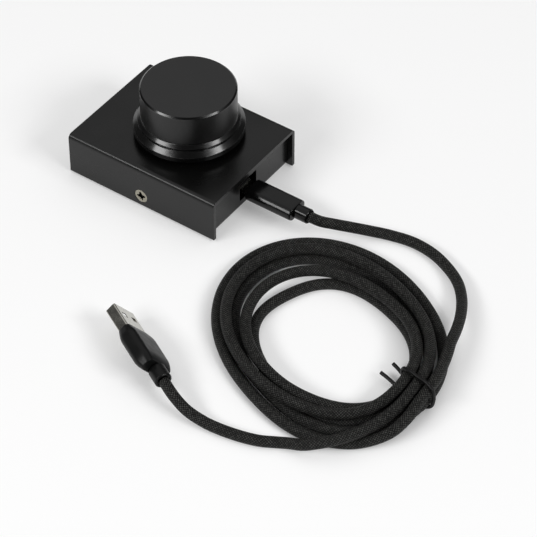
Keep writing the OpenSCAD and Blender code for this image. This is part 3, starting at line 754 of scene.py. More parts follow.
def tube(name: str, path: Array, radius: float, sides: int, material: Material,
         level: Point = (0.0, 0.0, 1.0)) -> Piece:
    """Round tube along a path, closed at both ends, with UVs in metres and turns.

    A ring's point at angle q is path + radius * (cos q * side + sin q * up).

    Args:
        name: The piece's name.
        path: Points along its centreline.
        radius: Its radius.
        sides: Points round a ring.
        material: Its finish.
        level: Vector that the side direction is square to.

    Returns:
        The tube.
    """
    side, up = side_frames(path, unit(np.array(level)))
    angle = round_angles(sides)[None, :, None]
    rings = path[:, None] + radius * (np.cos(angle) * side[:, None]
                                      + np.sin(angle) * up[:, None])
    piece = make_piece(name, rings, capped_faces(len(path), sides), material)
    write_tube_uv(piece.data, lengths_along(path), sides)
    return piece


def write_tube_uv(mesh: bpy.types.Mesh, walked: Array, sides: int) -> None:
    """Gives a tube's faces UVs: length along it in metres, and turns round it.

    Args:
        mesh: The tube's mesh, quads first and two caps last.
        walked: Length along the tube at each ring.
        sides: Points round a ring.
    """
    row, column = np.meshgrid(np.arange(len(walked) - 1), np.arange(sides), indexing="ij")
    along = np.stack([walked[row], walked[row], walked[row + 1], walked[row + 1]], -1)
    around = np.stack([column, column + 1, column + 1, column], -1) / sides
    quads = np.stack([along, around], -1).reshape(-1, 2)
    caps = np.repeat([[walked[0], 0.0], [walked[-1], 0.0]], sides, axis=0)
    layer = mesh.uv_layers.new(name="UVMap")
    layer.data.foreach_set("uv", np.concatenate([quads, caps]).ravel())


def outline(corners: Array, radii: Array, steps: int = 5,
            support: float = 0.03 * MM) -> Array:
    """Rounds every inner corner of a polyline.

    Each arc runs from one tangent point to the other about the circle's centre,
    by the sines of the angles still to go and already gone. A point just outside
    each arc keeps the shading of the flats level.

    Args:
        corners: Rows of radius and height.
        radii: Radius of each corner but the first and last.
        steps: Points along each arc.
        support: Distance of the outside points from the arc.

    Returns:
        The rounded polyline.
    """
    here = corners[1:-1]
    back, ahead = unit(corners[:-2] - here), unit(corners[2:] - here)
    half = np.arccos(np.clip((back * ahead).sum(-1), -1.0, 1.0)) / 2
    reach = (radii / np.tan(half))[:, None]
    middle = here + unit(back + ahead) * (radii / np.sin(half))[:, None]
    first, last = here + back * reach - middle, here + ahead * reach - middle
    sweep = (np.pi - 2 * half)[:, None]
    share = np.linspace(0.0, 1.0, steps)[None]
    to_go = (np.sin((1 - share) * sweep) / np.sin(sweep))[..., None]
    gone = (np.sin(share * sweep) / np.sin(sweep))[..., None]
    arcs = middle[:, None] + to_go * first[:, None] + gone * last[:, None]
    rows = np.concatenate([(here + back * (reach + support))[:, None], arcs,
                           (here + ahead * (reach + support))[:, None]], 1)
    return np.concatenate([corners[:1], rows.reshape(-1, 2), corners[-1:]])


def revolve(name: str, radius: Array, height: Array, centre: tuple[float, float],
            segments: int, material: Material) -> Piece:
    """Turns an outline of radius and height about an upright axis.

    A point is (cx + r cos q, cy + r sin q, z) for each outline point (r, z). The
    outline starts and ends on the axis, where its ring shrinks to one point.

    Args:
        name: The piece's name.
        radius: Radius of each ring, or one for each angle of each ring.
        height: Height of each ring.
        centre: Where the axis stands.
        segments: Steps round the axis.
        material: Its finish.

    Returns:
        The closed piece.
    """
    rings = len(height)
    angle = round_angles(segments)[None, :]
    reach = radius.reshape(rings, -1)
    points = np.stack([centre[0] + reach * np.cos(angle), centre[1] + reach * np.sin(angle),
                       np.broadcast_to(height[:, None], (rings, segments))], -1)
    piece = make_piece(name, points, grid_faces(rings, segments), material)
    face_outwards(piece)
    return piece


def carve(piece: Piece, cutters: Sequence[Piece]) -> None:
    """Cuts closed pieces out of another one and drops them.

    Args:
        piece: The piece that is cut.
        cutters: The closed pieces to take away from it.
    """
    for cutter in cutters:
        cut = piece.modifiers.new(cutter.name, "BOOLEAN")
        cut.operation, cut.solver, cut.object = "DIFFERENCE", "EXACT", cutter
    depsgraph = bpy.context.evaluated_depsgraph_get()
    shape = bpy.data.meshes.new_from_object(piece.evaluated_get(depsgraph))
    piece.modifiers.clear()
    piece.data = shape
    for cutter in cutters:
        bpy.data.objects.remove(cutter)


def rounded_section(width: Array, height: Array, radius: Array, around: int,
                    facet: float = 0.0) -> Array:
    """Rounded rectangles, one a row, as points at even turns of their outward normal.

    Each corner is a quarter circle with a flat let into its middle; the last point
    of one joins the first of the next, so the straight sides need no points of
    their own.

    Args:
        width: Width of each rectangle.
        height: Height of each rectangle.
        radius: Corner radius of each rectangle.
        around: Points in each quarter circle.
        facet: Half the width of the flat.

    Returns:
        Points as rows of sideways and upward distance, for each rectangle.
    """
    quarter = np.linspace(0.0, np.pi / 2, around)
    angle = np.concatenate([quarter + k * np.pi / 2 for k in range(4)])[None, :]
    middle = np.repeat((np.arange(4) + 0.5) * np.pi / 2, around)[None, :]
    slide = facet * np.clip((angle - middle) / quarter[1], -1.0, 1.0)
    corner = radius[:, None] + facet * math.sqrt(0.5)
    sign_x = np.repeat([1.0, -1.0, -1.0, 1.0], around)[None, :]
    sign_y = np.repeat([1.0, 1.0, -1.0, -1.0], around)[None, :]
    w, h, r = width[:, None], height[:, None], radius[:, None]
    sideways = sign_x * (w / 2 - corner) + r * np.cos(angle) - slide * np.sin(middle)
    upward = sign_y * (h / 2 - corner) + r * np.sin(angle) + slide * np.cos(middle)
    return np.stack([sideways, upward], -1)


@dataclass(frozen=True)
class Pose:
    """Where a plug lies: its front centre, its direction and its roll."""

    origin: Point
    heading: float = 0.0
    roll: float = 0.0

    def axes(self) -> tuple[Array, Array, Array]:
        """Unit vectors along the plug, across it and out of its broad face.

        Returns:
            The three vectors.
        """
        psi, rho = math.radians(self.heading), math.radians(self.roll)
        along = np.array([math.cos(psi), math.sin(psi), 0.0])
        level = np.array([-math.sin(psi), math.cos(psi), 0.0])
        upright = np.array([0.0, 0.0, 1.0])
        return (along, math.cos(rho) * level + math.sin(rho) * upright,
                math.cos(rho) * upright - math.sin(rho) * level)

    def place(self, points: Array) -> Array:
        """Moves points from the plug's own axes to the frame's."""
        return np.array(self.origin) + points @ np.stack(self.axes())


def loft(name: str, stations: Array, section: Array, pose: Pose,
         material: Material) -> Piece:
    """Skin over sections that stand one behind another, closed at both ends.

    Args:
        name: The piece's name.
        stations: Distance of each section along the plug.
        section: Rows of sideways and upward distance, for each section.
        pose: Where the plug lies.
        material: Its finish.

    Returns:
        The closed piece.
    """
    rows, columns = section.shape[:2]
    along = np.broadcast_to(stations[:, None, None], (rows, columns, 1))
    points = pose.place(np.concatenate([along, section], -1))
    piece = make_piece(name, points, capped_faces(rows, columns), material)
    face_outwards(piece)
    return piece


def rounded_ends(length: float, ends: tuple[float, float], draws: tuple[float, float],
                 steps: int = 9) -> tuple[Array, Array]:
    """Stations along a moulding and how far its skin is drawn in at each.

    Towards an end the skin follows a quarter ellipse, its length one way and its
    draw the other.

    Args:
        length: Length of the moulding.
        ends: Length of the front and the back ellipse.
        draws: How far each end is drawn in.
        steps: Stations along each ellipse.

    Returns:
        The stations and the inset at each.
    """
    q = np.linspace(0.0, np.pi / 2, steps)
    p = q[::-1]
    stations = [ends[0] * (1 - np.cos(q)), length - ends[1] * (1 - np.cos(p))]
    inset = [draws[0] * (1 - np.sin(q)), draws[1] * (1 - np.sin(p))]
    return np.concatenate(stations), np.concatenate(inset)


# Sub-assemblies


@dataclass(frozen=True)
class Lamp:
    """A soft lamp that faces the object, in degrees, metres and watts.

    Its azimuth is counted from +X and its elevation from the horizon.
    """

    name: str
    azimuth: float
    width: float
    watts: float
    elevation: float = 36.0
    distance: float = 2.4
    height: float = 0.52

    def hang(self, target: Point) -> None:
        """Hangs the lamp so that it faces a point.

        Args:
            target: The point, in metres.
        """
        data = bpy.data.lights.new(self.name, "AREA")
        data.shape = "RECTANGLE"
        data.size, data.size_y = self.width, self.height
        data.energy = self.watts
        lamp = bpy.data.objects.new(self.name, data)
        lamp.location = np.array(target) + self.distance * direction(
            self.azimuth, self.elevation)
        lamp.rotation_euler = (math.radians(90 - self.elevation), 0.0,
                               math.radians(self.azimuth + 90))
        bpy.context.scene.collection.objects.link(lamp)


@dataclass(frozen=True)
class Studio:
    """Camera, floor, lamps and the room that is mirrored."""

    azimuth: float = 35.29
    elevation: float = 44.07
    eye: Point = (0.48413, -0.62530, 0.70998)
    focal_pixels: float = 2684.8
    image_pixels: int = 537
    sensor: float = 36.0
    clip: tuple[float, float] = (0.01, 50.0)
    look_at: Point = (0.03, -0.02, 0.015)
    lamps: tuple[Lamp, ...] = (Lamp("left_strip", -109.0, 1.52, 29.0),
                               Lamp("right_strip", -1.0, 1.2, 25.5))
    floor_half: float = 6.0
    floor_roughness: float = 0.9
    floor_shine: float = 0.1
    palest: Colour = (0.97, 0.97, 0.97)
    least_pale: Colour = (0.95, 0.95, 0.95)
    cloud_grain: float = 0.4
    steady: float = 0.26
    # Bounds of the ring of painted shade under the coil, as shares of the oval.
    shade_ring_inner: tuple[float, float] = (0.56, 0.7)
    shade_ring_outer: tuple[float, float] = (1.0, 1.1)
    room: float = 0.78
    dark: float = 0.12
    behind_camera: tuple[float, float] = (0.7, 0.92)
    overhead: tuple[float, float] = (0.42, 0.68)

    def camera(self) -> None:
        """Sets the camera to the photograph's viewpoint."""
        data = bpy.data.cameras.new("camera")
        data.sensor_width = self.sensor
        data.lens = self.sensor * self.focal_pixels / self.image_pixels
        data.clip_start, data.clip_end = self.clip
        camera = bpy.data.objects.new("camera", data)
        camera.location = self.eye
        camera.rotation_euler = (math.radians(90 - self.elevation), 0.0,
                                 math.radians(self.azimuth))
        bpy.context.scene.collection.objects.link(camera)
        bpy.context.scene.camera = camera

    def under(self, graph: Graph, place: Socket, coil: "Coil") -> Value:
        """1 on the ring of floor that the coil covers, which carries painted shade, and 0
        away from it.

        The ring is told by the distance from the coil's centre as a share of its
        oval's radius that way.

        Args:
            graph: The floor's graph.
            place: The point on the floor.
            coil: The coil that lies on it.

        Returns:
            The ring's value.
        """
        x, y, _ = graph.axes(place)
        east, north = x - coil.centre[0] * MM, y - coil.centre[1] * MM
        cosine = math.cos(math.radians(coil.heading))
        sine = math.sin(math.radians(coil.heading))
        along = (east * cosine + north * sine) * (1 / (coil.long_half * MM))
        across = (north * cosine - east * sine) * (1 / (coil.short_half * MM))
        oval = (along * along + across * across).math("SQRT")
        return oval.span(*self.shade_ring_inner) * oval.span(*self.shade_ring_outer, 1.0, 0.0)

    def floor(self, coil: "Coil") -> None:
        """Lays a pale floor that looks whiter than it lights the object.

        Seen or mirrored, part of its colour is a steady white, save under the coil, where
        leaving it out is painted shade; to the light that it passes on it is only pale.

        Args:
            coil: The coil that lies on it.
        """
        graph = Graph("pale_floor")
        place = graph.coordinates()
        cloud = graph.noise(place, self.cloud_grain)
        pale = graph.blend(cloud, self.least_pale, self.palest)
        ray = graph.add("ShaderNodeLightPath").outputs
        seen = (Value(graph, ray["Is Camera Ray"]) + Value(graph, ray["Is Glossy Ray"])
                + Value(graph, ray["Is Transmission Ray"]))
        # Under the coil the white is left out: painted shade between the strands.
        share = seen.clamp() * (1 - self.under(graph, place, coil)) * self.steady
        material = graph.shader(
            Base_Color=graph.blend(share, pale, BLACK),
            Roughness=self.floor_roughness,
            Specular_IOR_Level=self.floor_shine,
            Emission_Color=graph.blend(share, BLACK, WHITE),
            Emission_Strength=1.0,
        )
        s = self.floor_half
        corners = np.array([[-s, -s, 0.0], [s, -s, 0.0], [s, s, 0.0], [-s, s, 0.0]])
        make_piece("floor", corners, [range(4)], material, smooth=False)

    def light(self) -> None:
        """Hangs the lamps in a pale room that is dark behind the camera and low down."""
        for lamp in self.lamps:
            lamp.hang(self.look_at)
        world = bpy.data.worlds.new("room")
        world.use_nodes = True
        graph = Graph("room_light", world.node_tree)
        way = graph.add("ShaderNodeTexCoord").outputs["Generated"]
        camera = tuple(direction(self.azimuth - 90, self.elevation))
        facing = graph.add("ShaderNodeVectorMath", {"operation": "DOT_PRODUCT"},
                           {0: way, 1: camera})
        towards = Value(graph, facing.outputs["Value"]).span(
            *self.behind_camera, 1.0, self.dark)
        height = graph.axes(way)[2].span(*self.overhead, self.dark, 1.0)
        pale = graph.add("ShaderNodeBackground", None, {
            "Color": WHITE, "Strength": towards * height * self.room})
        graph.add("ShaderNodeOutputWorld", None, {"Surface": pale.outputs[0]})
        bpy.context.scene.world = world


@dataclass(frozen=True)
class Coil:
    """The tied oval coil, in millimetres and degrees.

    Turn u runs clockwise from +X. A place of 0 is the outermost turn of the band
    and 1 the innermost: three turns wind in on the floor, then the cord climbs and
    two turns wind out on top of them. Each turn keeps its place in the band and
    steps to the next one beside the tie. A step or a climb is a pair of turns; a
    dip or a slack is its size in millimetres or places, its turn and its spread.
    """

    centre: tuple[float, float] = (99.0, -45.5)
    long_half: float = 52.5
    short_half: float = 43.0
    heading: float = 145.0
    first: float = 0.15
    last: float = 4.95
    band_in: float = 11.0
    tied_out: float = 5.6
    tied_spread: float = 0.18
    half_least: float = 5.0
    half_swell: float = 3.9
    swell_at: float = 130.0
    low_step: tuple[float, float] = (0.11, 0.27)
    high_step: tuple[float, float] = (0.02, 0.14)
    high_place: float = 0.95
    high_width: float = 0.48
    high_dip: Point = (0.22, 0.4, 0.16)
    climb: tuple[float, float] = (3.05, 3.2)
    slacks: tuple[Point, ...] = (
        (7.4, 2.575, 0.105), (3.8, 3.58, 0.15), (-5.0, 0.145, 0.08))
    layer_step: float = 4.5
    tie_lift: float = 1.8
    cord_radius: float = 2.0
    rings_a_turn: int = 40

    def beside(self, degrees: Array, inward: Array, height: Array) -> Array:
        """Points a distance in from the outer oval.

        Args:
            degrees: Their headings from the coil's centre.
            inward: Their distances in from the oval.
            height: Their heights.

        Returns:
            One row of x, y, z per point.
        """
        angle = np.radians(degrees)
        q = angle - math.radians(self.heading)
        radius = self.long_half * self.short_half / np.hypot(
            self.short_half * np.cos(q), self.long_half * np.sin(q)) - inward
        return np.stack([self.centre[0] + radius * np.cos(angle),
                         self.centre[1] + radius * np.sin(angle),
                         np.broadcast_to(height, radius.shape)], -1)

    def points(self) -> Array:
        """Centreline of the coil.

        Its distance in from the oval is that of the band's middle, plus the place
        across the band times its half width, plus the slack. The tie draws the
        middle outwards, and the half width swells towards one heading. The height
        rises by a layer at the climb and a little more beside the tie.

        Returns:
            One row of x, y, z per point.
        """
        count = round((self.last - self.first) * self.rings_a_turn)
        u = np.linspace(self.first, self.last, count + 1)
        whole, part = np.floor(u), u - np.floor(u)
        angle = -2 * np.pi * u
        low = np.clip((whole + smooth_step(part, *self.low_step) - 1) / 2, 0, 1)
        outward = np.clip(whole + smooth_step(part, *self.high_step) - 4, 0, 1)
        dip, *dip_at = self.high_dip
        high = self.high_place - self.high_width * outward - dip * hump(part, *dip_at)
        up = smooth_step(u, *self.climb)
        place = low * (1 - up) + high * up
        middle = self.band_in - self.tied_out * hump(
            np.minimum(part, 1 - part), 0.0, self.tied_spread)
        half = self.half_least + self.half_swell * (
            (1 + np.cos(angle - math.radians(self.swell_at))) / 2) ** 2
        slack = sum(size * hump(u, *at) for size, *at in self.slacks)
        height = (self.cord_radius + self.layer_step * up
                  + self.tie_lift * np.maximum(0.0, np.cos(angle)) ** 4)
        inward = middle + half * (2 * place - 1) + slack
        return self.beside(np.degrees(angle), inward, height)


@dataclass(frozen=True)
class Lead:
    """The braided lead: free stretch, tied coil and free stretch, as one cord.

    Places are millimetres: x, y, z for the free stretches, and heading in degrees,
    distance in from the coil's oval and height next to the coil.
    """

    finish: Finish
    coil: Coil = Coil()
    diameter: float = 4 * MM
    braid: float = 0.15 * MM
    step: float = 1.5 * MM
    sides: int = 20
    start: Point = (62.0, -1.3, 8.35)
    near_plug: tuple[Point, ...] = (
        (66, -1, 8.2), (71, 1.6, 7.3), (76, 5.2, 5.7), (82, 9.4, 3.8), (89, 13.2, 2.4),
        (98, 15.2, 2), (108, 14.4, 2), (117, 11, 2.2), (124.5, 6, 2.9), (131, -1.4, 4),
        (136, -10, 5.4))
    onto_coil: tuple[Point, ...] = (
        (32, -4.2, 7), (24, -2, 7.9), (16, -1, 8.2), (8, -0.3, 8.35), (0, 0, 8.4),
        (352, 0.1, 8.4), (345, -0.5, 8), (338, -2.1, 6.8), (330, -3.4, 4.9), (322, -3, 3),
        (316, -2.7, 2.3))
    off_coil: tuple[Point, ...] = (
        (6, 5.1, 8.3), (358, 5.15, 8.3), (350, 5, 8.2), (342, 4.2, 8), (335, 2.9, 7.7),
        (328, 1.2, 7.5), (322, -0.6, 7.4), (315, -2.9, 7.2), (308, -5.2, 6.9),
        (302, -6.6, 5.8), (297, -7.2, 4.2))
    to_large_plug: tuple[Point, ...] = (
        (119.5, -97.4, 2.6), (109, -102.6, 2), (98, -105.4, 2), (88.5, -106.4, 2.4),
        (80.5, -106.6, 4.2), (75, -105.6, 6.2))

    def path(self, end: Array) -> Array:
        """Centreline from the small plug to the large one, kept above the floor.

        Args:
            end: Where it enters the large plug's strain relief, in metres.

        Returns:
            One row of x, y, z per point, in metres.
        """
        onto = self.coil.beside(*np.array(self.onto_coil).T)
        off = self.coil.beside(*np.array(self.off_coil).T)
        whole = [np.array([self.start]), np.array(self.near_plug), onto, self.coil.points(),
                 off, np.array(self.to_large_plug), end[None] / MM]
        path = through(np.concatenate(whole) * MM, self.step)
        path[:, 2] = np.maximum(path[:, 2], self.diameter / 2 + self.braid)
        return path

    def build(self, end: Array, pieces: Sequence[Piece]) -> Piece:
        """Args:
            end: Where it enters the large plug's strain relief, in metres.
            pieces: The plugs and the tie that go with it; not used.

        Returns:
            The cord.
        """
        path = self.path(end)
        cord = tube("lead_cord", path, self.diameter / 2 + self.braid, self.sides,
                    self.finish.material())
        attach(cord, "base")
        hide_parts("cord_lead", "cord_coil", "cord_tail")
        return cord


@dataclass(frozen=True)
class Knob:
    """The turned knob with its hollow, boss, flatted bore and set-screw hole.

    Sizes are millimetres and heights are above its foot. A corner is its radius,
    its height and the radius that rounds it.
    """

    finish: Finish
    axis: tuple[float, float] = (2.0, 2.5)
    foot: float = 21.9
    bore: float = 3.05
    bore_flat: float = 1.55
    bore_from: float = 4.0
    flat_from: float = 6.3
    bore_to: float = 16.3
    bore_start: float = 0.5
    bore_steps: int = 64
    grub_radius: float = 1.54
    grub_height: float = 9.2
    grub_run: tuple[float, float] = (0.5, 24.0)
    grub_steps: int = 40
    segments: int = 192
    sharp_from: float = 30.0
    corners: tuple[Point, ...] = (
        (0, 4, 0), (6.5, 4, 0.3), (6.5, 13.9, 0.4), (15, 13.9, 0.4), (15, 0, 0.15),
        (22, 0, 0.25), (22, 2.2, 0.3), (20.2, 4, 0.1), (20.2, 4.2, 0.06),
        (19.7, 4.2, 0.07), (19.7, 5, 0.07), (20.2, 5, 0.06), (20.2, 5.2, 0.12),
        (19, 6.4, 0.3), (19, 19.25, 0.12), (18.35, 19.9, 0.1), (0, 19.9, 0))

    def centre(self) -> tuple[float, float]:
        """Where the axis stands, in metres."""
        return self.axis[0] * MM, self.axis[1] * MM

    def bore_cutter(self, material: Material) -> Piece:
        """Round bore that turns D-shaped above the flat's foot.

        The flat caps the radius at its distance from the axis over the angle's sine.

        Args:
            material: The knob's finish.

        Returns:
            The closed piece that carve takes away.
        """
        angle = round_angles(self.bore_steps)
        # Away from the flat the sine is held above 0, and the round bore is left.
        sine = np.maximum(np.sin(angle), 1e-3)
        flatted = np.minimum(self.bore, self.bore_flat / sine)
        whole = np.full_like(angle, self.bore)
        radius = np.stack([0 * angle, whole, whole, flatted, flatted, 0 * angle]) * MM
        start = self.bore_from - self.bore_start
        height = np.array([start, start, self.flat_from, self.flat_from,
                           self.bore_to, self.bore_to])
        return revolve("bore", radius, (self.foot + height) * MM, self.centre(),
                       self.bore_steps, material)

    def build(self) -> Piece:
        """Turns the knob and cuts its bore and the hole of its set screw.

        Returns:
            The knob.
        """
        material = self.finish.material()
        corners = np.array(self.corners, dtype=float) * MM
        shape = outline(corners[:, :2], corners[1:-1, 2])
        knob = revolve("turned_knob", shape[:, 0], shape[:, 1] + self.foot * MM,
                       self.centre(), self.segments, material)
        hole = np.array([[self.axis[0], self.axis[1] + y, self.foot + self.grub_height]
                         for y in self.grub_run]) * MM
        carve(knob, [self.bore_cutter(material),
                     tube("grub_hole", hole, self.grub_radius * MM, self.grub_steps,
                          material)])
        sharpen(knob, self.sharp_from)
        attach(knob, "knob")
        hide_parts("knob")
        return knob


@dataclass(frozen=True)
class CoverScrew:
    """Countersunk screw with a cross recess, in millimetres.

    The head's face is a disc in polar steps. Its depth at radius r and angle q is
    the recess depth where r is inside arm(q), with a soft rim; arm(q) is longest
    along the four arms. Below the face, the skin runs over rows of radius and
    depth, down the cone and the shank.
    """

    finish: Finish
    place: tuple[float, float] = (0.0, 5.5)
    face: float = 26.9
    flat: float = 2.75
    recess: float = 1.3
    hub: float = 1.15
    arm: float = 0.95
    soft_rim: tuple[float, float] = (-0.35, 0.02)
    turn: float = 12.0
    below: tuple[tuple[float, float], ...] = (
        (2.86, 0.03), (2.9, 0.12), (1.5, 1.5), (1.5, 5.6), (1.1, 6.0), (0.0, 6.0))
    rings: int = 40
    around: int = 120
    sharp_from: float = 38.0

    def build(self, side: int) -> Piece:
        """Makes the screw of one long side.

        Args:
            side: 1 for the side towards +Y, -1 for the other.

        Returns:
            The screw.
        """
        angle = round_angles(self.around)[None, :]
        ring = np.linspace(0.0, self.flat, self.rings)[:, None]
        cross = np.abs(np.cos(2 * (angle - math.radians(self.turn))))
        reach = self.hub + self.arm * cross ** 3
        inner, outer = self.soft_rim
        depth = self.recess * (1 - smooth_step(ring, reach + inner, reach + outer))
        below = np.array(self.below)
        radius = np.concatenate([ring, below[:, :1]])
        sunk = np.broadcast_to(below[:, 1:], (len(below), self.around))
        inward = np.concatenate([depth, sunk])
        points = np.stack([self.place[0] + radius * np.cos(angle),
                           side * (self.face - inward),
                           self.place[1] + radius * np.sin(angle)], -1) * MM
        name = f"cover_screw_{'north' if side > 0 else 'south'}"
        screw = make_piece(name, points, grid_faces(len(radius), self.around),
                           self.finish.shared())
        face_outwards(screw)
        sharpen(screw, self.sharp_from)
        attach(screw, "base")
        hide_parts("cover_screws")
        return screw


@dataclass(frozen=True)
class Plug:
    """Moulded grip and collar of one plug, in its own axes and millimetres.

    The grip's skin is drawn in towards its front and back, over the two lengths
    of ends and by the two amounts of draws. Bends are radii that round a profile's
    corners, and a facet is half the width of the flat in a lengthwise edge.
    """

    prefix: str
    finish: Finish
    pose: Pose
    width: float
    height: float
    corner: float
    length: float
    ends: tuple[float, float]
    draws: tuple[float, float]
    collar: float
    collar_length: float
    facet: float = 0.0
    straight: bool = False
    end_face: float = 1.35
    bends: tuple[float, ...] = (0.25, 12.0, 12.0, 0.25)
    bend_steps: int = 9
    corner_steps: int = 13
    support: float = 0.05
    mouth: float = 2.35
    mouth_depth: float = 0.7
    mouth_flare: float = 0.15
    collar_edge: float = 0.4
    collar_bends: tuple[float, ...] = (0.3, 0.3, 0.3, 0.1)
    collar_around: int = 48
    sharp_from: float = 50.0

    def end(self) -> Array:
        """Where the cord leaves the collar, in metres."""
        behind = (self.length + self.collar_length) * MM
        return self.pose.place(np.array([behind, 0.0, 0.0]))

    def skin(self) -> tuple[Array, Array]:
        """Stations along the grip and how far its skin is drawn in at each.

        A straight grip has flat tapers with rounded bends between them; another one
        follows quarter ellipses.

        Returns:
            The stations and the inset at each.
        """
        if not self.straight:
            return rounded_ends(self.length, self.ends, self.draws)
        front, back = self.ends
        corners = np.array([
            [0, self.end_face], [0, self.draws[0]], [front, 0], [self.length - back, 0],
            [self.length, self.draws[1]], [self.length, self.end_face]], dtype=float)
        stations, inset = outline(corners, np.array(self.bends), self.bend_steps,
                                  self.support).T
        return stations, inset

    def grip(self, material: Material) -> Piece:
        """Skins the grip over rounded rectangles.

        Args:
            material: Its finish.

        Returns:
            The grip.
        """
        stations, inset = self.skin()
        section = rounded_section(self.width - 2 * inset, self.height - 2 * inset,
                                  self.corner - inset / 2, self.corner_steps, self.facet)
        return loft(f"{self.prefix}_grip_moulding", stations * MM, section * MM,
                    self.pose, material)

    def sleeve(self, material: Material) -> Piece:
        """Round collar with a recess round the cord's mouth.

        Args:
            material: Its finish.

        Returns:
            The collar.
        """
        radius, end, edge = self.collar / 2, self.collar_length, self.collar_edge
        corners = np.array([
            [0, radius - edge], [edge, radius], [end - edge, radius], [end, radius - edge],
            [end, self.mouth + self.mouth_flare], [end - self.mouth_depth, self.mouth]])
        shape = outline(corners, np.array(self.collar_bends), support=self.support)
        angle = round_angles(self.collar_around)[None, :]
        circle = np.stack([np.cos(angle), np.sin(angle)], -1) * shape[:, 1][:, None, None]
        return loft(f"{self.prefix}_collar_moulding", (self.length + shape[:, 0]) * MM,
                    circle * MM, self.pose, material)

    def build(self, grip_node: str, collar_node: str) -> list[Piece]:
        """Makes both mouldings in place of the CAD ones.

        Args:
            grip_node: The node that the grip replaces.
            collar_node: The node that the collar replaces.

        Returns:
            The grip and the collar.
        """
        material = self.finish.shared()
        pieces = [self.grip(material), self.sleeve(material)]
        for piece, node in zip(pieces, (grip_node, collar_node)):
            sharpen(piece, self.sharp_from)
            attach(piece, "base")
            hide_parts(node)
        return pieces


@dataclass(frozen=True)
class Tie:
    """Wire tie round the coil, its two ends left straight.

    Points are heading, distance in from the coil's oval and height.
    """

    finish: Finish
    coil: Coil = Coil()
    radius: float = 0.72 * MM
    step: float = 0.5 * MM
    sides: int = 14
    level: Point = (-0.3, -0.95, 0.0)
    points: tuple[Point, ...] = (
        (361.2, 18.6, 4.5), (360.1, 16.2, 3.8), (358, 14, 3.9), (356, 13.4, 5.6),
        (354.5, 13, 8.3), (354, 12.1, 10.4), (353.5, 10, 11.3), (352.9, 5, 11.45),
        (352.4, 0, 11.5), (352, -2.2, 10.6), (352, -3, 8.4), (352, -2.9, 4.6),
        (352, -2, 2), (351.8, -0.6, 0.8), (351.5, 5.5, 0.8),
        (351.4, 10.5, 0.8), (351.2, 12.6, 1.1), (351, 14.5, 1.7), (350.9, 17.8, 2.5),
        (350.6, 21.8, 3.2))

    def build(self) -> Piece:
        """Lays the wire through its points, kept above the floor.

        Returns:
            The tie.
        """
        path = through(self.coil.beside(*np.array(self.points).T) * MM, self.step)
        path[:, 2] = np.maximum(path[:, 2], self.radius)
        tie = tube("tie_wire", path, self.radius, self.sides, self.finish.material(),
                   self.level)
        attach(tie, "base")
        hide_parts("wire_tie")
        return tie


def dress_node(node: Piece, finish: Finish) -> None:
    """Puts a finish on a node that keeps its own shape.

    Args:
        node: The CAD node.
        finish: Its finish.
    """
    material = finish.shared()
    if not node.data.materials:
        node.data.materials.append(material)
    for index in range(len(node.data.materials)):
        node.data.materials[index] = material


def report(*pieces: Piece) -> None:
    """Logs each piece with its number of faces."""
    for piece in pieces:
        log.info("%s: %d faces", piece.name, len(piece.data.polygons))


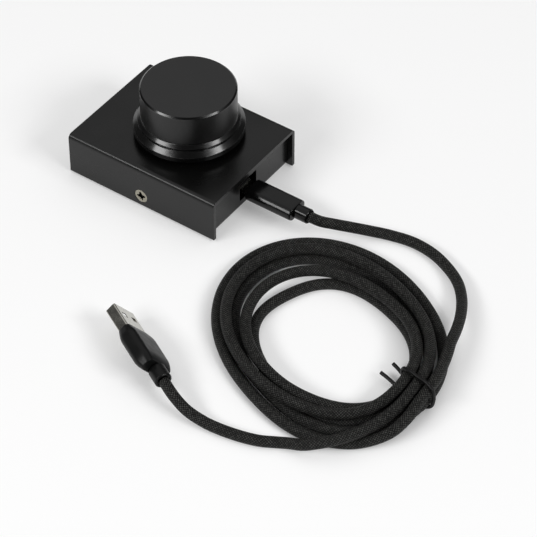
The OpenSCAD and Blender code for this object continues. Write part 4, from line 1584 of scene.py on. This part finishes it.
def main() -> None:
    """Builds the studio and every sub-assembly, in order."""
    logging.basicConfig(level=logging.INFO, format="%(message)s")
    scene = bpy.context.scene
    scene.view_settings.view_transform = "Standard"
    studio = Studio()
    studio.camera()
    studio.floor(Coil())
    studio.light()

    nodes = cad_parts
    coat = PowderCoat("powder_coat", (0.002, 0.002, 0.0019))
    gloss = Moulded("gloss_vinyl", (0.003, 0.0031, 0.0031), roughness=0.14, shine=0.25)
    satin = Moulded("satin_vinyl", (0.003, 0.0031, 0.0031), roughness=0.38, shine=0.2)
    nickel = BareMetal("nickel_plate", (0.46, 0.45, 0.41), roughness=0.2)
    steel = BareMetal("bright_steel", (0.55, 0.56, 0.56), roughness=0.3)
    rubber = Moulded("foot_rubber", (0.01, 0.01, 0.01), roughness=0.6)
    plastic = Moulded("black_moulding", (0.012, 0.012, 0.013), roughness=0.45)
    cream = Moulded("cream_moulding", (0.6, 0.56, 0.46), roughness=0.4)
    white = Moulded("white_moulding", (0.72, 0.72, 0.69), roughness=0.4)
    brass = BareMetal("spring_brass", (0.66, 0.48, 0.2), roughness=0.3)
    board = Laminate("solder_mask", (0.008, 0.009, 0.0085))
    black_steel = BareMetal("blackened_steel", (0.05, 0.05, 0.052), roughness=0.35)
    finishes = {
        "top_cover": coat, "base_pan": coat, "rubber_feet": rubber,
        "knob_set_screw": black_steel, "encoder_shaft": steel,
        "shaft_retaining_ring": steel, "encoder_rotor": cream, "encoder_wiper": brass,
        "encoder_bushing": steel, "bushing_washer": steel, "bushing_nut": steel,
        "encoder_frame": steel, "encoder_body": plastic, "encoder_track": brass,
        "detent_spring": steel, "encoder_terminals": steel, "push_plunger": cream,
        "switch_dome": brass, "circuit_board": board, "microcontroller": plastic,
        "crystal": steel, "capacitors": cream, "resistors": plastic,
        "socket_shell": black_steel, "socket_tongue": plastic, "device_plug_shell": nickel,
        "device_plug_insert": plastic, "a_plug_shell": nickel, "a_plug_tongue": white,
        "a_plug_contacts": brass,
    }
    for name, finish in finishes.items():
        dress_node(nodes[name], finish)
        report(nodes[name])
    anodising = Anodised("knob_anodising", (0.002, 0.002, 0.002), axis=(0.002, 0.0025))
    report(Knob(anodising).build())
    # The screws' cross recesses darken with depth: painted shade.
    screw_metal = ShadedRecessMetal("screw_metal", (0.36, 0.34, 0.28), roughness=0.25)
    for side in (1, -1):
        report(CoverScrew(screw_metal).build(side))
    small = Plug("small_plug", gloss, Pose((0.0348, -0.0013, 0.00835)), width=10.4,
                 height=5.8, corner=1.8, length=21.2, ends=(1.0, 0.8), draws=(0.4, 0.4),
                 collar=6.0, collar_length=6.0, facet=0.45)
    large = Plug("large_plug", satin, Pose((0.044, -0.0895, 0.00731), -28.4, -50.0),
                 width=15.5, height=7.2, corner=2.4, length=20.5, ends=(4.0, 3.0),
                 draws=(1.0, 1.0), collar=6.6, collar_length=6.5, straight=True)
    coating = Moulded("tie_coating", (0.003, 0.003, 0.003), roughness=0.4, shine=0.22)
    made = [*small.build("device_plug_grip", "device_strain_relief"),
            *large.build("a_plug_grip", "a_plug_strain_relief"), Tie(coating).build()]
    on_cord = [nodes[name] for name in (
        "device_plug_shell", "device_plug_insert", "a_plug_shell", "a_plug_tongue",
        "a_plug_contacts")]
    lead = Lead(Braid("cord_braid", (0.003, 0.003, 0.003)))
    report(*made, lead.build(large.end(), [*on_cord, *made]))


if __name__ == "__main__":
    main()
